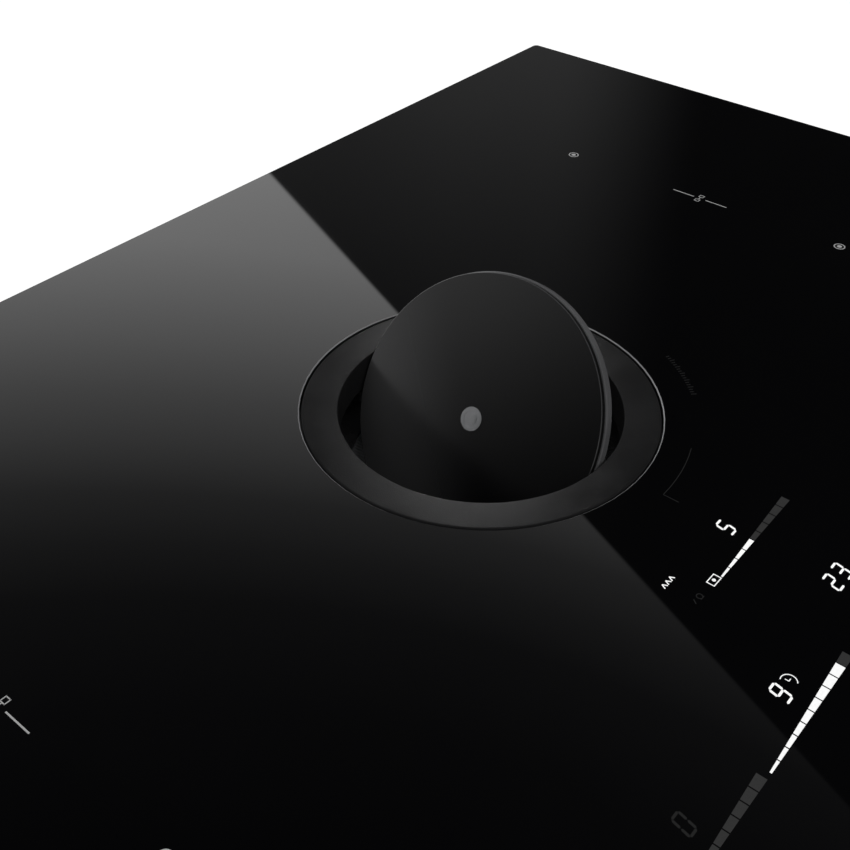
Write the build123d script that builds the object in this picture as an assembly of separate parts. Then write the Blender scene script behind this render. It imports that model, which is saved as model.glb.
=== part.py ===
from build123d import *
import os
from math import asin, atan, cos, degrees, pi, radians, sin, sqrt, tan

# Downdraft induction cooktop, in millimetres. +Z is up, +Y is the back, -Y faces the cook.
# The origin is the centre of the base; the glass's upper face is at HEIGHT.

# ---------------------------------------------------------------- driving dimensions
HEIGHT = 210.0  # base to the glass's upper face

# Ceramic glass
GLASS_W = 830.0
GLASS_D = 520.0
GLASS_T = 4.0
GLASS_CORNER_R = 4.0
GLASS_BEVEL = 0.5
GLASS_HOLE_R = 91.0
THROAT_Y = -5.5  # the extractor's centre stands a little towards the cook
SEAL_INSET = 2.0  # foam seal under the glass's edge
SEAL_W = 9.0
SEAL_T = 3.0

# Trim ring around the extractor
RING_GAP = 0.9
RING_BORE_R = 71.9
RING_DROP = 0.4  # outer edge below the glass's face
RING_DISH = 0.9  # fall from the outer edge to the inner one
RING_PLATE_T = 2.2
RING_RIM_T = 3.4
RING_EDGE_R = 1.0  # rounded outer lip
RING_BORE_EDGE_R = 0.4
RING_SKIRT_T = 2.6
RING_SKIRT_DROP = 18.0
RING_SEAT_DROP = 6.0
RING_SEAL_T = 0.5

# Tilting flap
FLAP_TILT = 57.8  # open angle, which is the stored pose
FLAP_RECESS = 1.8  # shut, its face lies this far below the glass's face
FLAP_GLASS_GAP = 1.9
FLAP_GLASS_T = 3.4
FLAP_GLASS_BEVEL = 0.35
FLAP_FRAME_GAP = 0.9
FLAP_FRAME_H = 6.0
FLAP_FRAME_EDGE_R = 0.5
FLAP_FRAME_WALL = 2.0
FLAP_FLOOR_T = 1.6
FLAP_RIB_T = 2.0
FLAP_BOND_T = 0.4
BADGE_R = 6.0
BADGE_T = 0.4
PIVOT_DROP = 10.2  # pivot axis below the glass's upper face
AXLE_R = 2.2
AXLE_ENGAGE = 9.0  # length of an axle inside the flap's frame
BUSH_T = 1.1
RUN_CLEAR = 0.05  # radial running clearance of a shaft in its bush
BUSH_FIT = 0.02
BOSS_R = 5.4
BOSS_L = 3.2  # the boss beyond the ring's skirt
FIT = 0.3  # working gap between pieces that move past each other

# Flap drive
GEAR_MODULE = 1.0
SECTOR_TEETH = 28  # teeth of the full wheel that the sector is cut from
PINION_TEETH = 14
PRESSURE_ANGLE = 25.0
TOOTH_BACKLASH = 0.16
GEAR_W = 4.6
SECTOR_HUB_R = 4.4
SECTOR_MARGIN = 17.0  # degrees of teeth past each end of the travel
PINION_SHAFT_R = 2.0
DRIVE_MOTOR_R = 11.5
DRIVE_MOTOR_L = 21.0
DRIVE_FLANGE_T = 1.6
DRIVE_EAR_X = 15.5

# Throat collar under the glass
COLLAR_BORE_R = 86.5
COLLAR_WALL = 3.0
COLLAR_FLANGE_R = 108.0
COLLAR_FLANGE_T = 3.0
COLLAR_GASKET_T = 1.0
COLLAR_DROP = 52.0
LEDGE_DROP = 40.0
LEDGE_BORE_R = 78.0
LEDGE_T = 3.0
PAD_W = 44.0  # flat pad for the flap's motor
PAD_REACH = 2.0

# Grease filter and drip bowl
BASKET_FLANGE_T = 1.5
BASKET_R = 70.0
BASKET_WALL = 1.2
BASKET_BOTTOM_DROP = 94.0
BASKET_SLOTS = 24
BASKET_SLOT_W = 9.0
BASKET_SLOT_H = 34.0
MESH_T = 1.0
MESH_CLEAR = 0.15
BOWL_R = 72.0
BOWL_H = 40.0
BOWL_WALL = 1.5
BOWL_LIP = 2.5

# Steel pan that carries the electronics
PAN_INSET_X = 30.0  # from the glass's edge to the pan
PAN_INSET_Y = 20.0
PAN_H = 50.0
PAN_T = 1.0
PAN_CORNER_R = 8.0
PAN_FLANGE_W = 12.0
BOND_T = 2.0  # bonding bead between pan and glass
BOND_W = 6.0
PAN_HOLE_GAP = 1.2
VENT_SLOT_W = 5.0
VENT_PITCH = 9.0
VENT_SLOTS = 9
FRONT_VENT_SLOTS = 12
FRONT_VENT_L = 26.0
FRONT_VENT_IN = 35.0  # from the pan's front to the middle of the vents

# Induction coils
ZONE_IN_X = 122.0  # from the pan's side to a zone's middle
ZONE_IN_Y = 122.5  # from the pan's back to a back zone's middle
ZONE_PITCH = 194.5
COIL_W = 178.0
COIL_D = 182.0
COIL_R = 60.0  # corner radius
COIL_BAND = 58.0  # width of the winding from its outer to its inner edge
COIL_T = 5.0
COIL_GROOVES = 6
MICA_T = 0.6
CARRIER_T = 3.0
FERRITE_T = 4.0
FERRITE_W = 12.0
FERRITE_L = 62.0
FERRITE_COUNT = 8
COIL_PLATE_T = 1.5
COIL_PLATE_W = 190.0
COIL_PLATE_D = 392.0
COIL_POST_R = 4.0
SENSOR_R = 7.0

# Power electronics
BOARD_W = 180.0
BOARD_D = 170.0
BOARD_T = 1.6
BOARD_Y = -45.0
STANDOFF_H = 5.0
STANDOFF_R = 3.0
HEATSINK_W = 60.0
HEATSINK_D = 120.0
HEATSINK_H = 22.0
HEATSINK_FINS = 9
FIN_T = 1.6
CAPACITOR_R = 9.0
CAPACITOR_H = 20.0
CHOKE_R = 12.0
CHOKE_CORE = 4.0
COOLING_FAN_Y = 110.0
COOLING_FAN_SIDE = 80.0
COOLING_FAN_H = 20.0
COOLING_BORE_R = 37.0
COOLING_ROTOR_R = 35.5
COOLING_HUB_R = 14.0
COOLING_BLADES = 7

# Touch controls
CONTROL_GAP = 3.0  # between the tray and the coil plates
CONTROL_D = 88.0
CONTROL_IN = 61.0  # from the pan's front to the tray's middle
CONTROL_TRAY_H = 9.0
CONTROL_TRAY_T = 1.6
DISPLAY_H = 6.0
DISPLAY_SIZE = (20.0, 16.0)
LEVEL_SHARES = (-0.417, -0.197, 0.197, 0.417)  # level displays, as shares of the tray's width
LEVEL_DY = -23.5  # a row of displays, from the tray's middle
FAN_DISPLAY_OUT = 29.5  # from the collar's flange to the extractor's display
TIMER_DY = -13.0
PAD_R = 3.0
PAD_PITCH = 14.0
PADS_PER_SLIDER = 4

# Mains entry
GLAND_IN_X = 85.0  # from the pan's side to the gland
GLAND_DROP = 30.0
GLAND_R = 12.0
GLAND_BORE_R = 6.5
GLAND_OUT = 15.0
GLAND_IN = 8.0
GLAND_NUT_T = 5.0
TERMINAL_SIZE = (52.0, 24.0, 22.0)

# Worktop clips
CLIP_IN = 90.0  # from the pan's front or back to a clip's middle
CLIP_W = 22.0
CLIP_T = 1.2
CLIP_H = 34.0
CLIP_BULGE = 6.0
CLIP_SCREW_R = 3.4

# Air plenum under the throat
PLENUM_HALF = 95.0
PLENUM_T = 2.5
PLENUM_CORNER_R = 10.0
LID_T = 3.0
NECK_GAP = 0.8
NECK_T = 3.0
NECK_H = 12.0
LID_RIM = 12.0  # the lid's edge beyond the tub, which takes its screws
LID_SCREW_SHARE = 0.75  # how far along each side its two screws stand
PAN_GASKET_T = 1.0
PAN_GASKET_W = 6.0

# Blower beside the plenum, its axis along X
BLOWER_Y = -25.0
BLOWER_W = 90.0
BLOWER_T = 2.0
HANGER_DROP = 8.0  # from the pan to the lug's top
SCROLL_STEP = 5.0  # growth of the scroll's radius each quarter turn
SCROLL_GAP = 7.0  # between the wheel and the scroll where it is narrowest
EYE_SHARE = 0.8  # the blades' inner radius as a share of the wheel's
SCROLL_SHIFT_Y = -1.0
SCROLL_SHIFT_Z = 4.0
BLOWER_MOUTH_Y = 95.0
EYE_CLEAR = 3.0  # the eye's radius beyond the wheel's
IMPELLER_START = 9.0  # from the plenum's wall to the front ring
IMPELLER_L = 70.0
IMPELLER_PLATE_T = 2.0
IMPELLER_BLADES = 32
BLADE_T = 1.2
BLADE_LEAN = 34.0
CUP_SHARE = 0.727  # the cup's radius as a share of the blades' inner radius
CUP_T = 2.0
CUP_L = 42.0
FAN_MOTOR_CLEAR = 3.0  # between the motor and its cup
FAN_MOTOR_GAP = 6.0  # between the cup's floor and the motor
FAN_MOTOR_OUT = 6.0  # the motor's end beyond the blower's shell
FAN_FLANGE_W = 15.0  # the flange's edge beyond the motor
FAN_FLANGE_T = 3.0
GROMMET_T = 3.0
GROMMET_R = 6.0
FAN_SCREW_OUT = 8.0  # the flange screws beyond the motor
FAN_SCREWS = 3
FAN_SHAFT_R = 3.0
NUT_AF = 10.0
NUT_T = 5.0
HANGER_W = 26.0
HANGER_T = 1.5
HANGER_HOOK = 16.0  # the strap's reach under the lug
HANGER_FOOT = 14.0  # and along the pan
LUG_H = 3.0

# Outlet duct at the back
SPIGOT_W = 222.0
SPIGOT_H = 89.0
SPIGOT_T = 2.0
SPIGOT_L = 48.0
SPIGOT_IN = 12.0  # from the glass's back edge to the spigot's mouth
DAMPER_IN = 39.0  # from the mouth to the damper's pins
DAMPER_BLADES = 2
DAMPER_T = 1.2
DAMPER_PIN_R = 1.3
DAMPER_BARREL_R = 2.0
DAMPER_SIDE_GAP = 1.0
DAMPER_BAR = 2.0

# Screws
SCREW_R = 2.0
SCREW_HEAD_R = 3.6
SCREW_HEAD_T = 2.2

# ---------------------------------------------------------------- derived levels and radii
GLASS_UNDER = HEIGHT - GLASS_T
SEAT_Z = GLASS_UNDER - SEAL_T
PIVOT_Z = HEIGHT - PIVOT_DROP
FLAP_FACE = PIVOT_DROP - FLAP_RECESS  # height of the shut face above the pivot
RING_R = GLASS_HOLE_R - RING_GAP
SKIRT_R = RING_BORE_R + RING_SKIRT_T
FLAP_GLASS_R = RING_BORE_R - FLAP_GLASS_GAP
FLAP_FRAME_R = RING_BORE_R - FLAP_FRAME_GAP
COLLAR_R = COLLAR_BORE_R + COLLAR_WALL
LEDGE_Z = HEIGHT - LEDGE_DROP
PAN_W = GLASS_W - 2 * PAN_INSET_X
PAN_D = GLASS_D - 2 * PAN_INSET_Y
PAN_TOP = GLASS_UNDER - BOND_T
PAN_BOTTOM = PAN_TOP - PAN_H
PAN_FLOOR = PAN_BOTTOM + PAN_T
LID_TOP = PAN_BOTTOM - PAN_GASKET_T
TUB_TOP = LID_TOP - LID_T
NECK_R = COLLAR_R + NECK_GAP
PAN_HOLE_R = NECK_R + NECK_T + PAN_HOLE_GAP
BLOWER_X = PLENUM_HALF  # the blower's near face lies on the plenum's wall
BLOWER_FAR_X = BLOWER_X + BLOWER_W
BLOWER_MID_X = BLOWER_X + BLOWER_W / 2
# the scroll fills the height between the base and its hanger
SCROLL_START_R = (PAN_BOTTOM - HANGER_DROP - LUG_H - 3 * SCROLL_STEP - 2 * BLOWER_T) / 2
IMPELLER_R = SCROLL_START_R - SCROLL_GAP
IMPELLER_EYE_R = EYE_SHARE * IMPELLER_R
EYE_R = IMPELLER_EYE_R + EYE_CLEAR
CUP_R = CUP_SHARE * IMPELLER_EYE_R
FAN_MOTOR_R = CUP_R - CUP_T - FAN_MOTOR_CLEAR
FAN_FLANGE_R = FAN_MOTOR_R + FAN_FLANGE_W
FAN_SCREW_R = FAN_MOTOR_R + FAN_SCREW_OUT
# the scroll's lowest wall stands on the base
BLOWER_Z = SCROLL_START_R + 3 * SCROLL_STEP - SCROLL_SHIFT_Z + BLOWER_T
COIL_TOP = GLASS_UNDER - MICA_T
CARRIER_TOP = COIL_TOP - COIL_T
FERRITE_TOP = CARRIER_TOP - CARRIER_T
COIL_PLATE_TOP = FERRITE_TOP - FERRITE_T
CENTRE_DISTANCE = GEAR_MODULE * (SECTOR_TEETH + PINION_TEETH) / 2
PINION_Z = PIVOT_Z - CENTRE_DISTANCE
BOSS_END = SKIRT_R + BOSS_L
GEAR_START = BOSS_END + FIT
ZONE_X = PAN_W / 2 - ZONE_IN_X
ZONE_BACK_Y = PAN_D / 2 - ZONE_IN_Y
ZONE_FRONT_Y = ZONE_BACK_Y - ZONE_PITCH
ZONES = [(side * ZONE_X, y) for side in (-1, 1) for y in (ZONE_BACK_Y, ZONE_FRONT_Y)]
CONTROL_W = 2 * (ZONE_X - COIL_PLATE_W / 2 - CONTROL_GAP)
CONTROL_Y = CONTROL_IN - PAN_D / 2
FAN_DISPLAY_Y = THROAT_Y - COLLAR_FLANGE_R - FAN_DISPLAY_OUT
LEVEL_Y = CONTROL_Y + LEVEL_DY
LEVEL_X = [share * CONTROL_W for share in LEVEL_SHARES]
CLIP_Y = PAN_D / 2 - CLIP_IN
GLAND_X = PAN_W / 2 - GLAND_IN_X
SPIGOT_END_Y = GLASS_D / 2 - SPIGOT_IN
SPIGOT_START_Y = SPIGOT_END_Y - SPIGOT_L
DAMPER_Y = SPIGOT_END_Y - DAMPER_IN
BOTTOM = (Align.CENTER, Align.CENTER, Align.MIN)


# ---------------------------------------------------------------- shared shapes
def block(x0, x1, y0, y1, z0, z1):
    """A box between two corners."""
    return Pos(x0, y0, z0) * Box(x1 - x0, y1 - y0, z1 - z0, align=(Align.MIN,) * 3)


def drum(r, z0, z1, x=0.0, y=0.0):
    """An upright cylinder from z0 to z1."""
    return Pos(x, y, z0) * Cylinder(r, z1 - z0, align=BOTTOM)


def tube(r_out, r_in, z0, z1, x=0.0, y=0.0):
    """An upright tube from z0 to z1."""
    return drum(r_out, z0, z1, x, y) - drum(r_in, z0, z1, x, y)


def rod_y(r, y0, y1, x, z):
    """A cylinder along Y."""
    return Pos(x, y0, z) * Rot(-90, 0, 0) * Cylinder(r, y1 - y0, align=BOTTOM)


def rod_x(r, x0, x1, y, z):
    """A cylinder along X."""
    return Pos(x0, y, z) * Rot(0, 90, 0) * Cylinder(r, x1 - x0, align=BOTTOM)


def rounded_plate(w, d, r, z0, z1):
    """A flat plate with rounded corners, centred on the origin."""
    return Pos(0, 0, z0) * extrude(RectangleRounded(w, d, r), z1 - z0)


def turned(points, y=0.0):
    """A solid turned about the vertical axis from (radius, height) points."""
    profile = Plane.XZ * make_face(Polyline(*points, close=True))
    return Pos(0, y, 0) * revolve(profile, Axis.Z)


def turned_x(points, y, z):
    """A solid turned about a line along X from (radius, x) points."""
    profile = make_face(Polyline(*[(x, r) for r, x in points], close=True))
    return Pos(0, y, z) * revolve(profile, Axis.X)


def screw(length, head_r=SCREW_HEAD_R):
    """A pan-head screw that points down, its head's underside at the origin."""
    return drum(SCREW_R, -length, 0) + drum(head_r, 0, SCREW_HEAD_T)


def ring_of(count, radius, start=0.0):
    """Points evenly spaced on a circle, with the angle of each in degrees."""
    for k in range(count):
        angle = start + 360.0 * k / count
        yield radius * cos(radians(angle)), radius * sin(radians(angle)), angle


def save(node, *solids):
    """Writes one node's solids to its file."""
    os.makedirs("parts", exist_ok=True)
    pieces = [s for shape in solids for s in shape.solids()]
    export_step(Compound(children=pieces), f"parts/{node}.step")


# ---------------------------------------------------------------- glass and seals
def glass_top():
    """The black ceramic glass, bevelled all round and around the extractor's hole."""
    plate = rounded_plate(GLASS_W, GLASS_D, GLASS_CORNER_R, GLASS_UNDER, HEIGHT)
    plate = chamfer(plate.faces().sort_by(Axis.Z)[-1].edges(), GLASS_BEVEL)
    hole = drum(GLASS_HOLE_R, GLASS_UNDER, HEIGHT, y=THROAT_Y)
    flare = Pos(0, THROAT_Y, HEIGHT - GLASS_BEVEL) * Cone(
        GLASS_HOLE_R, GLASS_HOLE_R + GLASS_BEVEL, GLASS_BEVEL, align=BOTTOM
    )
    return plate - hole - flare


def frame_strip(w, d, r, width, z0, z1):
    """A flat rectangular band, width across, whose outer size is w by d."""
    outer = rounded_plate(w, d, r, z0, z1)
    inner = rounded_plate(w - 2 * width, d - 2 * width, max(r - width, 0.5), z0, z1)
    return outer - inner


def glass_rim_seal():
    """The foam strip that the glass rests on the worktop with."""
    w, d = GLASS_W - 2 * SEAL_INSET, GLASS_D - 2 * SEAL_INSET
    return frame_strip(w, d, GLASS_CORNER_R, SEAL_W, SEAT_Z, GLASS_UNDER)


def pan_bond():
    """The bead that bonds the pan's flange to the glass."""
    return frame_strip(PAN_W, PAN_D, PAN_CORNER_R, BOND_W, PAN_TOP, GLASS_UNDER)


# ---------------------------------------------------------------- throat collar
def collar_pad():
    """The flat pad on the collar's back for the flap's motor."""
    top = HEIGHT - RING_SKIRT_DROP + FIT
    low = HEIGHT - LEDGE_DROP - LEDGE_T
    far = THROAT_Y + COLLAR_R + PAD_REACH
    return block(-PAD_W / 2, PAD_W / 2, THROAT_Y + LEDGE_BORE_R, far, low, top)


def throat_collar():
    """The moulded collar: flange under the glass, ring seat, filter ledge and motor pad."""
    flange_top = GLASS_UNDER - COLLAR_GASKET_T
    flange_low = flange_top - COLLAR_FLANGE_T
    seat = HEIGHT - RING_SEAT_DROP
    bottom = HEIGHT - COLLAR_DROP
    collar = turned(
        [
            (COLLAR_BORE_R, seat),
            (GLASS_HOLE_R - FIT, seat),
            (GLASS_HOLE_R - FIT, flange_top),
            (COLLAR_FLANGE_R, flange_top),
            (COLLAR_FLANGE_R, flange_low),
            (COLLAR_R, flange_low),
            (COLLAR_R, bottom),
            (COLLAR_BORE_R, bottom),
            (COLLAR_BORE_R, LEDGE_Z - LEDGE_T),
            (LEDGE_BORE_R, LEDGE_Z - LEDGE_T),
            (LEDGE_BORE_R, LEDGE_Z),
            (COLLAR_BORE_R, LEDGE_Z),
        ],
        y=THROAT_Y,
    )
    collar += collar_pad() - drum(COLLAR_BORE_R, 0, HEIGHT, y=THROAT_Y)
    far = THROAT_Y + COLLAR_R + PAD_REACH
    collar -= rod_y(PINION_SHAFT_R + 2 * FIT, THROAT_Y, far, 0, PINION_Z)
    for x in (-DRIVE_EAR_X, DRIVE_EAR_X):
        collar -= rod_y(SCREW_R + BUSH_FIT, far - 5, far, x, PINION_Z)
    return collar


def collar_gasket():
    """The silicone ring between the collar's flange and the glass."""
    inner = GLASS_HOLE_R + 2 * GLASS_BEVEL
    return tube(COLLAR_FLANGE_R, inner, GLASS_UNDER - COLLAR_GASKET_T, GLASS_UNDER, y=THROAT_Y)


# ---------------------------------------------------------------- trim ring and its bushes
def ring_surface(r):
    """Height of the ring's dished upper face at a radius."""
    share = (r - RING_BORE_R) / (RING_R - RING_BORE_R)
    return HEIGHT - RING_DROP - RING_DISH * (1 - share)


def rim_edge(shape, r, z):
    """The circular edge of a turned shape at a radius and height."""
    edges = shape.edges().filter_by(GeomType.CIRCLE)
    return min(edges, key=lambda e: abs(e.radius - r) + abs(e.center().Z - z))


def ring_trim():
    """The wide matt ring with its rim, skirt and pivot bosses; it lifts out with the flap."""
    seat = HEIGHT - RING_SEAT_DROP + RING_SEAL_T
    under = ring_surface(RING_BORE_R) - RING_PLATE_T
    rim_in = RING_R - RING_RIM_T
    skirt_low = HEIGHT - RING_SKIRT_DROP
    ring = turned(
        [
            (RING_BORE_R, ring_surface(RING_BORE_R)),
            (RING_R, ring_surface(RING_R)),
            (RING_R, seat),
            (rim_in, seat),
            (rim_in, under),
            (SKIRT_R, under),
            (SKIRT_R, skirt_low),
            (RING_BORE_R, skirt_low),
        ],
        y=THROAT_Y,
    )
    ring = fillet(rim_edge(ring, RING_R, ring_surface(RING_R)), RING_EDGE_R)
    ring = fillet(rim_edge(ring, RING_BORE_R, ring_surface(RING_BORE_R)), RING_BORE_EDGE_R)
    for side in (-1, 1):
        y0, y1 = sorted((side * RING_BORE_R, side * BOSS_END))
        boss = rod_y(BOSS_R, THROAT_Y + y0, THROAT_Y + y1, 0, PIVOT_Z)
        boss &= drum(SKIRT_R + 2 * BOSS_L, 0, under + RING_PLATE_T / 2, y=THROAT_Y)
        ring += boss - drum(RING_BORE_R, 0, HEIGHT, y=THROAT_Y)
        bore = BUSH_T + AXLE_R + RUN_CLEAR + BUSH_FIT
        ring -= rod_y(bore, THROAT_Y + y0 - 1, THROAT_Y + y1 + 1, 0, PIVOT_Z)
    return ring


def ring_seal():
    """The thin seal under the ring's rim."""
    seat = HEIGHT - RING_SEAT_DROP
    return tube(RING_R, RING_R - RING_RIM_T, seat, seat + RING_SEAL_T, y=THROAT_Y)


def pivot_bushes():
    """The two plain bushes that the flap's axles turn in."""
    r_out, r_in = BUSH_T + AXLE_R + RUN_CLEAR, AXLE_R + RUN_CLEAR
    bushes = []
    for side in (-1, 1):
        y0, y1 = sorted((side * (RING_BORE_R + FIT), side * BOSS_END))
        y0, y1 = THROAT_Y + y0, THROAT_Y + y1
        bushes.append(rod_y(r_out, y0, y1, 0, PIVOT_Z) - rod_y(r_in, y0, y1, 0, PIVOT_Z))
    return bushes


# ---------------------------------------------------------------- flap, drawn shut about its pivot
def tilted(shape):
    """Turns a flap piece from the shut pose to the open one and puts it on its pivot."""
    return Pos(0, THROAT_Y, PIVOT_Z) * Rot(0, -FLAP_TILT, 0) * shape


def flap_glass():
    """The black glass disc; shut, its face lies just under the ring's inner edge."""
    disc = drum(FLAP_GLASS_R, FLAP_FACE - FLAP_GLASS_T, FLAP_FACE)
    return chamfer(disc.faces().sort_by(Axis.Z)[-1].edges(), FLAP_GLASS_BEVEL)


def flap_badge():
    """A small plain disc with a turned groove, bonded on the disc's face."""
    badge = drum(BADGE_R, FLAP_FACE, FLAP_FACE + BADGE_T)
    groove = drum(0.72 * BADGE_R, FLAP_FACE + BADGE_T / 2, FLAP_FACE + BADGE_T)
    groove -= drum(0.5 * BADGE_R, FLAP_FACE + BADGE_T / 2, FLAP_FACE + BADGE_T)
    return badge - groove


def flap_frame():
    """The dish under the disc, with cross ribs and a hub for each axle."""
    top = FLAP_FACE - FLAP_GLASS_T - FLAP_BOND_T
    low = top - FLAP_FRAME_H
    edge = FLAP_FRAME_EDGE_R
    dish = turned(
        [
            (0, low),
            (FLAP_FRAME_R - edge, low),
            (FLAP_FRAME_R, low + edge),
            (FLAP_FRAME_R, top - edge),
            (FLAP_FRAME_R - edge, top),
            (0, top),
        ]
    )
    hollow = drum(FLAP_FRAME_R - FLAP_FRAME_WALL, low - 1, top - FLAP_FLOOR_T)
    ribs = block(-FLAP_RIB_T / 2, FLAP_RIB_T / 2, -FLAP_FRAME_R, FLAP_FRAME_R, low, top)
    ribs += block(-FLAP_FRAME_R, FLAP_FRAME_R, -FLAP_RIB_T / 2, FLAP_RIB_T / 2, low, top)
    ribs += tube(FLAP_FRAME_R / 2, FLAP_FRAME_R / 2 - FLAP_RIB_T, low, top)
    for side in (-1, 1):
        y0, y1 = sorted((side * (FLAP_FRAME_R - AXLE_ENGAGE - 2), side * FLAP_FRAME_R))
        ribs += rod_y(AXLE_R + FLAP_FRAME_WALL, y0, y1, 0, 0)
    inside = drum(FLAP_FRAME_R - FLAP_FRAME_WALL / 2, low - BOSS_R, top)
    frame = dish - hollow + (ribs & inside)
    for side in (-1, 1):
        y0, y1 = sorted((side * (FLAP_FRAME_R - AXLE_ENGAGE), side * (FLAP_FRAME_R + 1)))
        frame -= rod_y(AXLE_R + BUSH_FIT, y0, y1, 0, 0)
    return frame


def flap_bond():
    """The bonding pad between the disc and its dish."""
    top = FLAP_FACE - FLAP_GLASS_T
    return drum(FLAP_GLASS_R - 2 * FLAP_GLASS_BEVEL, top - FLAP_BOND_T, top)


def flap_axles():
    """The front stub axle and the longer back one, which carries the sector."""
    start = FLAP_FRAME_R - AXLE_ENGAGE
    front = rod_y(AXLE_R, -BOSS_END, -start, 0, 0)
    back = rod_y(AXLE_R, start, GEAR_START + GEAR_W, 0, 0)
    return front, back


def involute(base_r, r):
    """Polar angle, in radians, that an involute of base_r has turned through at radius r."""
    if r <= base_r:
        return 0.0
    slope = sqrt((r / base_r) ** 2 - 1)
    return slope - atan(slope)


def gear_outline(teeth, wanted, tooth_at):
    """A spur wheel's outline with only the wanted teeth, the first centred on tooth_at degrees."""
    pitch_r = GEAR_MODULE * teeth / 2
    base_r = pitch_r * cos(radians(PRESSURE_ANGLE))
    tip_r, root_r = pitch_r + 0.9 * GEAR_MODULE, pitch_r - 1.25 * GEAR_MODULE
    half = pi / (2 * teeth) - TOOTH_BACKLASH / (2 * pitch_r)
    flank = [max(base_r, root_r) + s * (tip_r - max(base_r, root_r)) / 4 for s in range(5)]
    half_at = [half + involute(base_r, pitch_r) - involute(base_r, r) for r in flank]
    teeth_faces = Sketch()
    for k in wanted:
        mid = radians(tooth_at + 360.0 * k / teeth)
        side = [(root_r - 0.3, half_at[0])] + list(zip(flank, half_at))
        left = [(r * cos(mid + a), r * sin(mid + a)) for r, a in side]
        right = [(r * cos(mid - a), r * sin(mid - a)) for r, a in reversed(side)]
        teeth_faces += make_face(Polyline(*left, *right, close=True))
    return teeth_faces, root_r


def flap_sector_gear():
    """The toothed sector on the back axle, drawn shut like the rest of the flap."""
    step = 360.0 / SECTOR_TEETH
    first = -int(SECTOR_MARGIN // step)
    last = int((FLAP_TILT + SECTOR_MARGIN) // step)
    low, high = FLAP_TILT + SECTOR_MARGIN, -SECTOR_MARGIN
    # open, the pinion meets the tooth at this angle
    mesh = -90.0 - FLAP_TILT
    teeth, root_r = gear_outline(SECTOR_TEETH, range(first, last + 1), mesh)
    wedge = [
        (3 * root_r * cos(radians(-90 - a)), 3 * root_r * sin(radians(-90 - a)))
        for a in (high, (low + high) / 2, low)
    ]
    web = Circle(root_r) & make_face(Polyline((0, 0), *wedge, close=True))
    face = web + teeth + Circle(SECTOR_HUB_R)
    # the sketch's x is X and its y is Z, so its normal runs along -Y
    gear = extrude(Plane.XZ * face, GEAR_W)
    gear = Pos(0, GEAR_START + GEAR_W, 0) * gear
    return gear - rod_y(AXLE_R + BUSH_FIT, GEAR_START - 1, GEAR_START + GEAR_W + 1, 0, 0)


# ---------------------------------------------------------------- flap drive
def drive_pinion():
    """The pinion and its shaft; a tooth gap faces the sector's middle tooth when open."""
    gap_up = 90.0 + 180.0 / PINION_TEETH
    teeth, root_r = gear_outline(PINION_TEETH, range(PINION_TEETH), gap_up)
    wheel = extrude(Plane.XZ * (Circle(root_r) + teeth), GEAR_W)
    wheel = Pos(0, THROAT_Y + GEAR_START + GEAR_W, PINION_Z) * wheel
    end = THROAT_Y + COLLAR_R + PAD_REACH + DRIVE_FLANGE_T + DRIVE_MOTOR_L / 2
    return wheel + rod_y(PINION_SHAFT_R, THROAT_Y + GEAR_START, end, 0, PINION_Z)


def flap_motor():
    """The geared motor behind the collar's pad: flange with two ears, can and end cap."""
    y0 = THROAT_Y + COLLAR_R + PAD_REACH
    flange = rod_y(DRIVE_MOTOR_R, y0, y0 + DRIVE_FLANGE_T, 0, PINION_Z)
    ear_r = SCREW_HEAD_R + 1
    y1 = y0 + DRIVE_FLANGE_T
    flange += block(-DRIVE_EAR_X, DRIVE_EAR_X, y0, y1, PINION_Z - ear_r, PINION_Z + ear_r)
    for x in (-DRIVE_EAR_X, DRIVE_EAR_X):
        flange += rod_y(ear_r, y0, y1, x, PINION_Z)
    can = rod_y(DRIVE_MOTOR_R, y1, y1 + DRIVE_MOTOR_L, 0, PINION_Z)
    cap = rod_y(DRIVE_MOTOR_R / 2, y1 + DRIVE_MOTOR_L, y1 + DRIVE_MOTOR_L + 2, 0, PINION_Z)
    motor = flange + can + cap
    for x in (-DRIVE_EAR_X, DRIVE_EAR_X):
        motor -= rod_y(SCREW_R + BUSH_FIT, y0, y1, x, PINION_Z)
    bore_end = y1 + DRIVE_MOTOR_L / 2 + FIT
    return motor - rod_y(PINION_SHAFT_R + RUN_CLEAR, y0, bore_end, 0, PINION_Z)


def flap_motor_screws():
    """The two screws through the motor's ears into the pad."""
    y = THROAT_Y + COLLAR_R + PAD_REACH + DRIVE_FLANGE_T
    turn = Rot(-90, 0, 0)
    return [Pos(x, y, PINION_Z) * turn * screw(5) for x in (-DRIVE_EAR_X, DRIVE_EAR_X)]


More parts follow.
